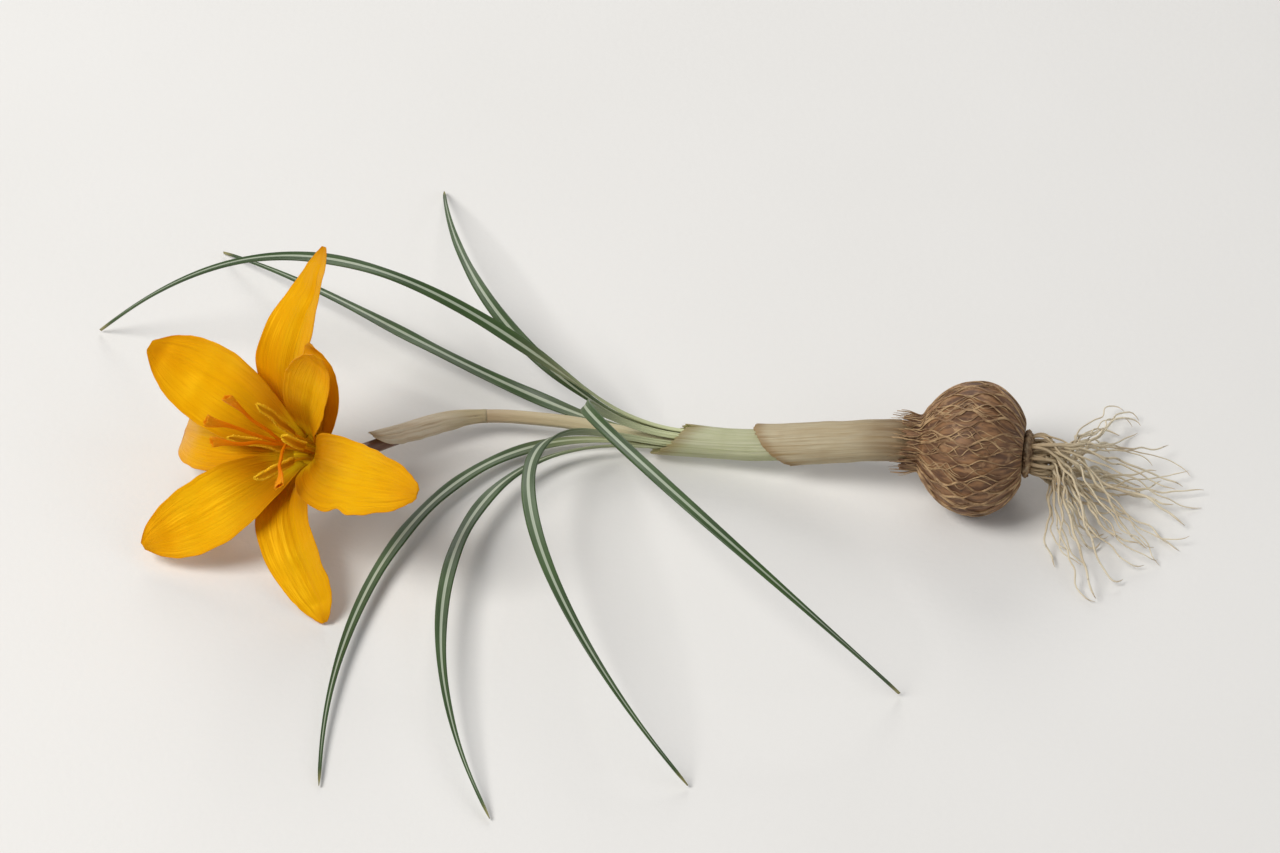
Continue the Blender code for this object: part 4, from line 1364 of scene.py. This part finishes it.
# %% [markdown]
# ### Papery skin
#
# Bract and sheaths are one material in three tints: veins that run lengthwise, blotches, a brown dry edge,
# and light that comes through. Three networks would have to be kept alike by hand, so one function makes
# them all and takes the colours, the number of veins and how stained the foot is.

# %% Papery skin
PAPER_EDGE = (0.33, 0.19, 0.08)
BRACT_FOOT = (0.60, 0.52, 0.32)
SHEATH_FOOT = (0.20, 0.10, 0.035)


def paper_finish(name, dark, light, glow, veins, stained=0.0, foot_colour=SHEATH_FOOT):
    """Dry, papery skin with parallel veins. stained is how much of foot_colour it takes at its foot."""
    finish = Finish(name, roughness=0.55, ior=1.4)
    across, along = finish.surface_place()
    fine = finish.lines(across * veins, along * 2.5, 3.0)
    broad = finish.lines(across * veins * 0.25, along * 1.5, 3.0)
    blotch = finish.grain(220.0, 4.0)
    coats = [
        (fine.between(0.42, 0.66) * 0.6 + broad.between(0.45, 0.7) * 0.4, dark),
        (blotch.between(0.50, 0.75) * 0.35, dark),
    ]
    if stained:
        coats.append(((1.0 - (along + (broad - 0.5) * 0.5).between(0.0, 0.55)) * stained, foot_colour))
    coats.append(((along + (fine - 0.5) * 0.1).between(0.90, 1.0) * 0.7, PAPER_EDGE))
    finish.paint(light, *coats)
    finish.relief(fine, 0.00015)
    finish.let_light_through(glow, 0.45)
    return finish


bract_paper = paper_finish(
    "bract_paper", (0.60, 0.44, 0.26), (0.95, 0.90, 0.76), (0.95, 0.84, 0.62), 70.0, 0.9, BRACT_FOOT
)
make_piece("bract_sheet", [bract_skin()], [bract_paper], ["bract"])

# %% [markdown]
# ## Leaves
#
# Crocus leaves are narrow, dark green and lax, with a silvery stripe down the channel of the upper side and a
# keel below, between two grooves. The stripe is a band without green cells, so it has a sharp edge and a soft
# sheen. The leaf's outline is drawn once and carried along each route, with the face of the leaf turning up
# once it has left the sheath.

# %% The route of a leaf
LEAVES = {  # corner of the ring it grows from, its tip on the table and how high it arches
    "leaf_1": (-90.0, (-106.0, -66.0), 3.0),
    "leaf_2": (-38.6, (-128.0, 60.0), 12.0),
    "leaf_3": (12.9, (-90.0, 76.0), 14.0),
    "leaf_4": (64.3, (-148.0, 40.0), 44.0),
    "leaf_5": (115.7, (-14.0, -46.0), 40.0),
    "leaf_6": (167.1, (-48.0, -66.0), 28.0),
    "leaf_7": (218.6, (-79.0, -73.0), 10.0),
}
LEAF_RING = 1.65
LEAF_EXIT = 50.0
LEAF_EXIT_POINTS = 60  # of a route, up to the sheath's mouth
LEAF_HANDLE = 0.38  # length of the arc's handles, of the distance from the sheath to the tip
LEAF_SPLAY = 0.22  # how much a leaf leans away from the shoot as it leaves the sheath
LEAF_REST = 0.5  # height of its tip above the table


def leaf_route(corner, tip, arch):
    """Points along a leaf: straight in the sheath, then an even arc that rises and falls to its tip."""
    turn = math.radians(corner)
    place, tangents, side, top = along_shoot(np.linspace(0.0, LEAF_EXIT, LEAF_EXIT_POINTS))
    outward = math.cos(turn) * side + math.sin(turn) * top
    inside = place + LEAF_RING * outward
    start, tangent = inside[-1], tangents[-1]
    end = np.array([*tip, LEAF_REST])
    chord = unit((end - start) * (1, 1, 0))
    mirrored = 2.0 * (chord @ tangent) * chord - tangent
    arriving = unit((chord + mirrored) * (1, 1, 0))
    handle = LEAF_HANDLE * np.linalg.norm(end - start)
    first = start + (tangent + outward[-1] * LEAF_SPLAY) * handle + UP * arch * 0.4
    first[2] = max(first[2], start[2])
    second = end - arriving * handle + UP * max(arch, 0.5)
    return np.concatenate([inside, bezier(start, first, second, end)[1:]])


print("leaves:", len(LEAVES))

# %% The body of a leaf
LEAF_HALF = 1.15
LEAF_HALF_IN_SHEATH = 0.56
LEAF_TAPER = 0.62  # of the length, where the taper begins
LEAF_ROWS = 150
LEAF_POINTS = 17  # across each face
LEAF_SOFTNESS = 8  # rows to each side over which a leaf's bends are softened
LEAF_WANDER = 0.05
LEAF_TURNING = 40.0  # mm beyond the sheath in which the leaf's face turns up
LEAF_WIDENING = 18.0  # and in which it grows to its full width


def leaf_outline():
    """The upper face from left to right, then the lower face back, for a half width of 1."""
    x = np.linspace(-1.0, 1.0, LEAF_POINTS)
    margin = 0.16 * np.clip(np.abs(x) - 0.85, 0.0, 1.0) / 0.15
    upper = 0.15 + 0.15 * np.abs(x) ** 1.3 - margin
    keel = 0.15 * np.exp(-((x / 0.2) ** 2))
    grooves = 0.13 * np.exp(-(((np.abs(x) - 0.5) / 0.16) ** 2))
    lower = -0.20 - keel + grooves + margin
    return np.r_[x, x[::-1]], np.r_[upper, lower[::-1]]


def softened(path, reach):
    """A path with each point at the mean of its neighbours, and with both ends kept."""
    before = 2 * path[:1] - path[reach:0:-1]
    after = 2 * path[-1:] - path[-2 : -reach - 2 : -1]
    padded = np.concatenate([before, path, after])
    window = np.ones(2 * reach + 1) / (2 * reach + 1)
    return np.stack([np.convolve(padded[:, axis], window, mode="valid") for axis in range(3)], 1)


def leaf_skin(name):
    """One leaf: look 0 above and 1 below."""
    draw = seeded(name)
    turn = math.radians(LEAVES[name][0])
    route = leaf_route(*LEAVES[name])
    lengths = lengths_along(route)
    inside, length = lengths[LEAF_EXIT_POINTS - 1], lengths[-1]
    path = softened(evenly(route, LEAF_ROWS), LEAF_SOFTNESS)
    _, across, facing = carried(path, -(math.cos(turn) * SIDES[0] + math.sin(turn) * TOPS[0]))
    wander = smooth_random(draw, LEAF_ROWS, 9) * LEAF_WANDER
    distance = np.linspace(0.0, length, LEAF_ROWS)
    free = ease((distance - inside) / LEAF_TURNING)
    ahead = np.cross(across, facing)
    level = unit(UP - ahead * (ahead @ UP)[:, None])
    tilt = np.arctan2(-(level * across).sum(1), (level * facing).sum(1))
    across, facing = turned(across, facing, (tilt * free + wander * free * 3.0)[:, None])
    grown = ease((distance - inside - 2.0) / LEAF_WIDENING)
    tip = (distance / length - LEAF_TAPER) / (1.0 - LEAF_TAPER)
    taper = (1.0 - 0.75 * ease(tip)) * (1.0 - np.clip((tip - 0.94) / 0.06, 0.0, 1.0) ** 2 * 0.85)
    half = (LEAF_HALF_IN_SHEATH + (LEAF_HALF - LEAF_HALF_IN_SHEATH) * grown) * taper * (1.0 + wander)
    x, y = leaf_outline()
    rings = swept(path, across, facing, np.outer(half, x), np.outer(0.8 + 0.2 * grown * taper, y))
    return skin(rings, np.r_[(x + 1.0) / 2.0, 0.0], looks=np.repeat([0, 1], LEAF_POINTS))


print("points round a leaf:", 2 * LEAF_POINTS)

# %% [markdown]
# ### Finish of the leaves
#
# The stripe could be a strip of mesh of its own, but its edge lies in the leaf's skin and has no height. So
# it is a narrow band of the coordinate across the leaf, with a slightly uneven edge. The foot of a leaf is
# blanched, because it stays in the dark of the sheath, and its tip is dry.

# %% Finish of the leaves
LEAF_GREEN = (0.027, 0.056, 0.014)
LEAF_LIGHT = (0.058, 0.112, 0.027)
STRIPE = (0.40, 0.45, 0.34)
GROOVE_GREEN = (0.16, 0.24, 0.15)
BLANCHED = (0.55, 0.58, 0.34)
DRY_TIP = (0.42, 0.36, 0.14)


def leaf_finish(name, striped):
    """Dark green with parallel veins, the stripe above or pale grooves below, blanched in the sheath."""
    finish = Finish(name, ior=1.45)
    across, along = finish.surface_place()
    side = (across * 2.0 - 1.0).size()
    veins = finish.lines(across * 16.0, along * 5.0)
    patch = finish.grain(90.0, 3.0)
    if striped:
        line = 1.0 - (side + (veins - 0.5) * 0.05).between(0.17, 0.25)
        mark = (line * (1.0 - along.between(0.93, 0.99)) * 0.85, STRIPE)
    else:
        mark = ((1.0 - (side - 0.5).size().between(0.06, 0.20)) * 0.35, GROOVE_GREEN)
    finish.paint(
        LEAF_GREEN,
        (patch.between(0.35, 0.7) * 0.5 + veins.between(0.45, 0.7) * 0.5, LEAF_LIGHT),
        mark,
        (1.0 - along.between(0.25, 0.48), BLANCHED),
        (along.between(0.975, 1.0) * 0.7, DRY_TIP),
    )
    finish.roughness(0.34 + veins * 0.16)
    finish.relief(veins, 0.00005)
    return finish


leaf_finishes = [leaf_finish("leaf_above", True), leaf_finish("leaf_below", False)]
for name in LEAVES:
    make_piece(name + "_blade", [leaf_skin(name)], leaf_finishes, [name])

# %% [markdown]
# ## Sheaths
#
# Two papery sheaths hold the shoot together below ground. They are pale, veined lengthwise and almost
# see-through, their mouths are cut aslant and fray, and near the bulb they are stained by the soil. A sheath
# is a thin tube: loops up the outside, over the ragged mouth, and down the inside.

# %% Sheaths
SHEATHS = {  # radius inside, length, turn of the mouth and the deepest tear
    "sheath_outer": (3.05, 29.0, 70.0, 1.6),
    "sheath_inner": (2.25, 47.0, 250.0, 1.0),
}
SHEATH_WALL = 0.5
SHEATH_INSET = 0.12  # of the paper below the outside of that wall
SHEATH_PAPER = 0.14
SHEATH_SLANT = 6.0
SHEATH_RELIEF = 0.05  # of veins and creases
SHEATH_FLARE = 0.10
FRAY = 0.5
TEAR_WIDTH = 0.10  # radians
TEAR_GAIN = 2.2
SHEATH_SIDES = 96
SHEATH_ROWS = 70
SHEATH_VEINS = 24


def sheath_skin(name):
    """A thin sleeve with lengthwise veins, soft creases and a torn mouth."""
    radius, length, turn, tear = SHEATHS[name]
    draw = seeded(name)
    angles = around(SHEATH_SIDES)
    short = SHEATH_SLANT * (0.5 - 0.5 * np.cos(angles - math.radians(turn)))
    fray = np.abs(smooth_random(draw, SHEATH_SIDES, 2)) * FRAY
    torn_at = math.radians(turn + 180) % (2 * math.pi)
    split = tear * TEAR_GAIN * np.exp(-(((angles - torn_at) / TEAR_WIDTH) ** 2))
    veins = SHEATH_RELIEF * np.cos(SHEATH_VEINS * angles + draw.uniform(0, 6))
    veins = veins + SHEATH_RELIEF * smooth_random(draw, SHEATH_SIDES, 3)
    creases = smooth_random(draw, SHEATH_ROWS, 6)[:, None] * SHEATH_RELIEF
    vs = np.linspace(0.0, 1.0, SHEATH_ROWS)
    steps = vs[:, None]
    reach = steps * (length - short) - ease((steps - 0.8) / 0.2) * (fray + split)
    flare = SHEATH_FLARE * ease((steps - 0.85) / 0.15)
    wall = radius + SHEATH_WALL - SHEATH_INSET + veins * (1.0 - 0.3 * steps) + creases + flare
    outer = shoot_rings(reach, wall, SHEATH_SIDES)
    inner = shoot_rings(reach, wall - SHEATH_PAPER, SHEATH_SIDES)
    return skin(np.concatenate([outer, inner[::-1]]), vs=np.r_[vs, vs[::-1]], ends=False)


sheath_papers = {
    "sheath_outer": paper_finish(
        "outer_sheath", (0.50, 0.37, 0.20), (0.76, 0.69, 0.50), (0.75, 0.64, 0.40), 90.0, 0.9
    ),
    "sheath_inner": paper_finish(
        "inner_sheath", (0.50, 0.52, 0.28), (0.78, 0.77, 0.58), (0.72, 0.76, 0.42), 80.0
    ),
}
for name, paper in sheath_papers.items():
    make_piece(name + "_paper", [sheath_skin(name)], [paper], [name])

# %% [markdown]
# ## Bulb
#
# The bulb of a crocus is a corm: a flattened solid ball in a coat of dry fibres that run from its base to its
# crown and join into a net. The coat is built as it grows: a papery brown skin, then more than forty real
# fibres that swing from one neighbour to the other. Where two meet they touch, which makes the long meshes of
# the net, and finer loose ones lie between them. At the top they run free and stand round the shoot as a
# tattered crown.

# %% The coat of the bulb
CORM_BACK = 8.6  # half the length of its curve, behind its widest place
CORM_FRONT = 10.0  # and in front of it
CORM_BASE = 7.6  # behind the widest place, where its base is flat
CORM_SHOULDER = 8.2  # in front of it, where the crown begins
CROWN_OUTER = 4.6  # radius of the crown
COAT_SEED = 3
COAT_SIDES = 132
COAT_ROWS = 60
CROWN_ROWS = 16
CROWN_SHARE = 0.72  # of the crown's length that the paper reaches
CROWN_PAPER = 0.15  # below the crown's own radius
CROWN_LIP = 0.2  # below the crown's margin, where its inside begins
CROWN_FLOOR = (0.4, 0.2)  # heights above the seat, where that inside ends
CROWN_THICK = (0.45, 0.55)  # at the margin and at the floor
SHOULDER_RUN = 1.4  # mm in which the shoulder turns into the crown
NECK_RADIUS = 0.6  # where both ends of the skin are closed
COAT_FOLDS = 0.10
COAT_LUMPS = 0.08
TEARS = 3.0  # in the crown's margin
DEEPEST_TEAR = 3.6


def round_bulb(distances, radii, out):
    """Points round the bulb's axis, at distances along it from the widest place."""
    return CORM_CENTRE + distances[..., None] * AWAY + radii[..., None] * out


def corm_outline(distance):
    """The bulb's radius at distances along its axis from the widest place."""
    reach = np.where(distance < 0, CORM_BACK, CORM_FRONT)
    rounded = CORM_RADIUS * np.sqrt(np.maximum(0.0, 1.0 - (distance / reach) ** 2))
    at_shoulder = CORM_RADIUS * math.sqrt(1.0 - (CORM_SHOULDER / CORM_FRONT) ** 2)
    part = ease((distance - CORM_SHOULDER) / SHOULDER_RUN)
    crown = at_shoulder + (CROWN_OUTER - CROWN_PAPER - at_shoulder) * part
    return np.where(distance < CORM_SHOULDER, rounded, crown)


def coat_skin():
    """The papery coat under the net, from the flat base to the ragged crown, and down inside the crown."""
    draw = np.random.default_rng(COAT_SEED)
    angles = around(COAT_SIDES)
    folds = smooth_random(draw, COAT_SIDES, 2) * COAT_FOLDS
    torn = (np.abs(smooth_random(draw, COAT_SIDES, 1)) * TEARS).clip(0.0, DEEPEST_TEAR)
    crown = CORM_SEAT + CROWN_LENGTH * CROWN_SHARE
    body = np.linspace(-CORM_BASE, CORM_SHOULDER, COAT_ROWS)
    steps = np.r_[body, np.linspace(CORM_SHOULDER + 0.3, crown, CROWN_ROWS)]
    radii = np.r_[NECK_RADIUS, corm_outline(steps)][:, None]
    steps = np.r_[-CORM_BASE, steps][:, None]
    grown = ease((radii - 3.0) / 3.0)
    tatter = torn * ease((steps - CORM_SHOULDER) / (crown - CORM_SHOULDER))
    bumps = folds * grown + COAT_LUMPS * np.sin(5 * angles + steps) * grown
    out = ring_round(angles, ASIDE, UP)
    outside = round_bulb(steps - tatter, radii + bumps, out)
    down = np.r_[crown - CROWN_LIP, CORM_SEAT + np.array(CROWN_FLOOR)][:, None]
    radii = np.r_[CROWN_OUTER - np.array(CROWN_THICK), NECK_RADIUS][:, None]
    inside = round_bulb(down - torn * (down > CORM_SEAT + 1), radii, out)
    return skin(np.concatenate([outside, inside]))


print("radius at the shoulder:", round(float(corm_outline(CORM_SHOULDER)), 2))

# %% [markdown]
# ### The net
#
# A net could be drawn as relief, but its fibres stand out from the bulb's outline and run free at the
# crown. So each of them is a flattened rod. Neighbours swing in opposite directions, as the wires of a
# fence do, and soft random offsets make the meshes uneven.

# %% The net of fibres
NET_SEED = 14
NET_FIBRES = 44
FINE_FIBRES = 60
NET_WAVE = 0.95  # radians of the fibres' swing for each millimetre
NET_LOOSENING = 4.0  # mm beyond the shoulder in which the fibres come free
NET_WANDER = 0.16  # of the distance between neighbours
FINE_WANDER = 0.45
FIBRE_RADIUS = 0.145
FINE_RADIUS = 0.065
FIBRE_WIDE = 1.35  # of the radius, along the bulb's surface
FIBRE_DEEP = 0.75  # and across it
FIBRE_FOOT = 2.4  # how far a fibre runs in under the base
FIBRE_SIDES = 6
FIBRE_STEPS = 76
FIBRE_ROWS = 80
FIBRE_TAPER = np.r_[np.linspace(0.6, 1.0, 12), np.ones(48), np.linspace(1.0, 0.35, 20)]
COAT_LIFT = 0.12
FINE_LIFT = 0.10


def fibre_skins():
    """The fibres of the net and of the crown, with finer loose ones between them."""
    draw = np.random.default_rng(NET_SEED)
    skins = []
    for number in range(NET_FIBRES + FINE_FIBRES):
        fine = number >= NET_FIBRES
        end = CORM_SEAT + CROWN_LENGTH * draw.uniform(0.25 if fine else 0.4, 1.0)
        first = draw.uniform(-CORM_BASE, 2.0) if fine else -CORM_BASE + 0.05
        steps = np.linspace(first, end, FIBRE_STEPS)
        swing = 0.5 * (-1) ** number * np.sin(steps * NET_WAVE + 0.25 * smooth_random(draw, FIBRE_STEPS, 9))
        wander = (FINE_WANDER if fine else NET_WANDER) * smooth_random(draw, FIBRE_STEPS, 8)
        free = ease((steps - CORM_SHOULDER) / NET_LOOSENING)
        turns = (draw.uniform(0, NET_FIBRES) if fine else number) + swing * (1.0 - 0.7 * free) + wander
        radii = corm_outline(steps) + (FINE_LIFT if fine else COAT_LIFT)
        radii += free * (0.1 + 0.9 * free * draw.uniform(0.0, 1.0)) * draw.choice([0.25, 1.0])
        out = ring_round(2 * math.pi * turns / NET_FIBRES, ASIDE, UP)
        path = round_bulb(steps, radii, out)
        if not fine:
            path = np.concatenate([path[:1] - out[:1] * FIBRE_FOOT * draw.uniform(0.4, 1.0), path])
        path = evenly(path, FIBRE_ROWS)
        _, sides, tops = carried(path, out[0])
        thick = FIBRE_TAPER * draw.uniform(0.75, 1.25) * (FINE_RADIUS if fine else FIBRE_RADIUS)
        rings = rod(path, sides * FIBRE_WIDE, tops * FIBRE_DEEP, thick, FIBRE_SIDES)
        skins.append(skin(rings, looks=np.ones(FIBRE_SIDES, int)))
    return skins


print("fibres:", NET_FIBRES, "in the net and", FINE_FIBRES, "fine ones")

# %% [markdown]
# ### Finish of the bulb
#
# Coat and fibres are the same dry tissue, dark where it is thick and straw-coloured where it is thin. The
# coat has lengthwise streaks, flakes of a lighter layer and a little soil. The fibres' tone changes from
# place to place, so that single ones stand out.

# %% Finish of the bulb


def coat_finish():
    """Dry chestnut paper: darker in the folds, with flakes of a lighter layer."""
    finish = Finish("bulb_coat", roughness=0.62)
    across, along = finish.surface_place()
    streaks = finish.lines(across * 70.0, along * 6.0, 4.0)
    flakes = finish.grain(420.0, 5.0)
    finish.paint(
        (0.10, 0.042, 0.016),
        (streaks.between(0.38, 0.66), (0.27, 0.135, 0.055)),
        (flakes.between(0.56, 0.66) * 0.5, (0.42, 0.25, 0.12)),
        (finish.grain(1500.0, 3.0).between(0.62, 0.75) * 0.5, (0.045, 0.028, 0.016)),
    )
    finish.relief(streaks * 0.6 + flakes * 0.4, 0.0003)
    return finish


def fibre_finish():
    """Straw-brown fibres."""
    finish = Finish("bulb_fibres", roughness=0.6)
    across, along = finish.surface_place()
    streaks = finish.lines(across * 4.0, along * 60.0)
    finish.paint(
        (0.20, 0.105, 0.045),
        (finish.grain(500.0, 3.0).between(0.35, 0.65), (0.46, 0.30, 0.15)),
        (streaks.between(0.5, 0.7) * 0.4, (0.14, 0.07, 0.03)),
    )
    finish.relief(streaks, 0.00008)
    return finish


make_piece("bulb", [coat_skin(), *fibre_skins()], [coat_finish(), fibre_finish()], ["corm"])

# %% [markdown]
# ## Roots
#
# The roots are white when young and creamy later, unbranched, as thin as thread and a little kinked. They
# spring from a corky disc on the flat base and droop to the table. They are drawn as curves with seeded
# differences in length, spread and bend, and each gets a slight waver. The disc is a turned shape with small
# lumps, and the stubs of older roots are small balls half sunk in it.

# %% Roots
ROOT_COUNT = 62
ROOT_RINGS = (2.9, 2.0, 1.0)
ROOT_SINK = 1.0  # of a root's start in the disc
ROOT_TURN = 0.382  # of a circle from one root to the next
ROOT_REACH = (14.0, 30.6)  # from the bulb to the tip
ROOT_FAN = (30.0, 70.0)  # degrees to each side
ROOT_PULL = (4, 9)  # straight on before a root begins to droop
ROOT_SPLAY = 3.6  # away from the bulb's axis meanwhile
ROOT_HANDLE = 8.0
ROOT_BEND = 60  # degrees, at the most, by which the tip may point elsewhere
ROOT_WAVER = 0.55  # sideways
ROOT_BOB = 0.30  # up and down
ROOT_KNOBS = 0.06  # of the radius
ROOT_RADIUS = (0.17, 0.33)
ROOT_REST = 0.26
ROOT_STACK = 0.55  # how much higher each of five roots' tips lies than the last
ROOT_SIDES = 8
ROOT_ROWS = 44
ROOT_TIP = (0.45, 0.3, 0.12)  # of the radius, in the last rows


def root_skin(number, draw):
    """One root from the disc to its tip behind the bulb."""
    angle = 2 * math.pi * (number * ROOT_TURN + draw.uniform(-0.05, 0.05))
    out = math.cos(angle) * ASIDE + math.sin(angle) * UP
    start = CORM_CENTRE - AWAY * (CORM_BASE + GAP + ROOT_SINK) + out * ROOT_RINGS[number % 3]
    fan = heading(CORM_HEADING + 180.0 - math.cos(angle) * draw.uniform(*ROOT_FAN) + draw.uniform(-12, 12))
    tip = CORM_CENTRE * (1, 1, 0) - AWAY * CORM_BASE + fan * draw.uniform(*ROOT_REACH)
    tip = tip + UP * (ROOT_REST + ROOT_STACK * (number % 5))
    pull = -AWAY * draw.uniform(*ROOT_PULL) + out * ROOT_SPLAY
    bent = heading(CORM_HEADING + 180.0 + draw.uniform(-ROOT_BEND, ROOT_BEND))
    before = tip - bent * ROOT_HANDLE + UP * draw.uniform(0.0, 3.0)
    path = evenly(bezier(start, start + pull, before, tip), ROOT_ROWS)
    _, sides, tops = carried(path, UP)
    free = ease(np.linspace(0.0, 1.0, ROOT_ROWS) / 0.3)
    path = path + sides * (smooth_random(draw, ROOT_ROWS, 4) * ROOT_WAVER * free)[:, None]
    path = path + tops * (smooth_random(draw, ROOT_ROWS, 4) * ROOT_BOB * free)[:, None]
    path[:, 2] = np.maximum(path[:, 2], ROOT_REST)
    _, sides, tops = carried(path, UP)
    radii = draw.uniform(*ROOT_RADIUS) * np.r_[np.linspace(1.0, 0.55, ROOT_ROWS - len(ROOT_TIP)), ROOT_TIP]
    radii *= 1.0 + ROOT_KNOBS * smooth_random(draw, ROOT_ROWS, 1)
    return skin(rod(path, sides, tops, radii, ROOT_SIDES))


print("roots:", ROOT_COUNT)

# %% The disc that the roots spring from
ROOT_SEED = 23
DISC_SIDES = 60
ROOT_SCARS = 150  # stubs of older roots on the disc
SCAR_SPAN = 1.4  # mm of the disc's depth that they cover
SCAR_SINK = 0.08
DISC_LUMPS = 0.04  # of the radius
ROOT_DISC = [  # distance behind the bulb's base, and radius, along the disc's outline
    (-0.28, 0.6),
    (-0.28, 3.2),
    (0.05, 3.75),
    (0.4, 3.9),
    (0.8, 3.6),
    (1.15, 3.0),
    (1.4, 2.0),
    (1.5, 0.6),
]


def root_skins():
    """The disc under the bulb, with its scars, and all its roots."""
    draw = np.random.default_rng(ROOT_SEED)
    behind, reach = np.array(ROOT_DISC).T
    lumps = np.array([1.0 + DISC_LUMPS * smooth_random(draw, DISC_SIDES, 2) for _ in ROOT_DISC])
    out = ring_round(around(DISC_SIDES), ASIDE, UP)
    disc = round_bulb(-(CORM_BASE + GAP + behind)[:, None], reach[:, None] * lumps, out)
    at = draw.uniform(0.0, SCAR_SPAN, ROOT_SCARS)
    spokes = ring_round(draw.uniform(0.0, 2 * math.pi, ROOT_SCARS), ASIDE, UP)
    stubs = round_bulb(-(CORM_BASE + GAP + at), np.interp(at, behind[2:], reach[2:] - SCAR_SINK), spokes)
    scars = grains(stubs, draw.uniform(0.14, 0.32, ROOT_SCARS), 1)
    roots = [root_skin(number, draw) for number in range(ROOT_COUNT)]
    return [skin(disc, looks=np.ones(DISC_SIDES, int)), scars, *roots]


print("scars:", ROOT_SCARS)

# %% [markdown]
# ### Finish of the roots
#
# Roots are cream, and a little light passes through them, which keeps a whole bundle from turning grey.
# They are browner at the foot and at the tip, and soil clings to them in specks. The disc is corky, with
# paler patches where old roots have broken off.

# %% Finish of the roots and their disc


def root_finish():
    """Cream, browner at the foot, with traces of soil."""
    finish = Finish("roots", roughness=0.55)
    _, along = finish.surface_place()
    soil = finish.grain(700.0, 4.0)
    finish.paint(
        finish.ramp(along, (0.0, (0.40, 0.28, 0.15)), (0.25, (0.64, 0.53, 0.35)), (1.0, (0.82, 0.75, 0.58))),
        (finish.grain(130.0, 2.0).between(0.45, 0.75) * 0.5, (0.46, 0.33, 0.18)),
        (along.between(0.90, 1.0) * 0.6, (0.42, 0.28, 0.14)),
        (soil.between(0.60, 0.72) * 0.55, (0.12, 0.075, 0.04)),
    )
    finish.relief(soil, 0.00012)
    finish.let_light_through((0.8, 0.66, 0.42), 0.12)
    return finish


def disc_finish():
    """Corky brown, with the pale ends of old roots."""
    finish = Finish("root_disc", roughness=0.8)
    cork = finish.grain(900.0, 4.0)
    finish.paint(
        (0.15, 0.085, 0.04),
        (cork.between(0.40, 0.65), (0.36, 0.24, 0.13)),
        (finish.grain(300.0, 2.0).between(0.55, 0.70) * 0.6, (0.60, 0.48, 0.31)),
    )
    finish.relief(cork, 0.0002)
    return finish


make_piece("roots_bundle", root_skins(), [root_finish(), disc_finish()], ["roots"])

# %% [markdown]
# ## Sizes at the end
#
# The finished plant is made around the solids, so both boxes are printed before the scene is closed.
# The finished plant has to be as large as the solids it was made around.

# %% Both boxes, and the end
final_box = [list(corner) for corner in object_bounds()]
for label, box in (("solids", solid_box), ("looks", final_box)):
    print(label, [[round(value * 1000, 1) for value in corner] for corner in box])
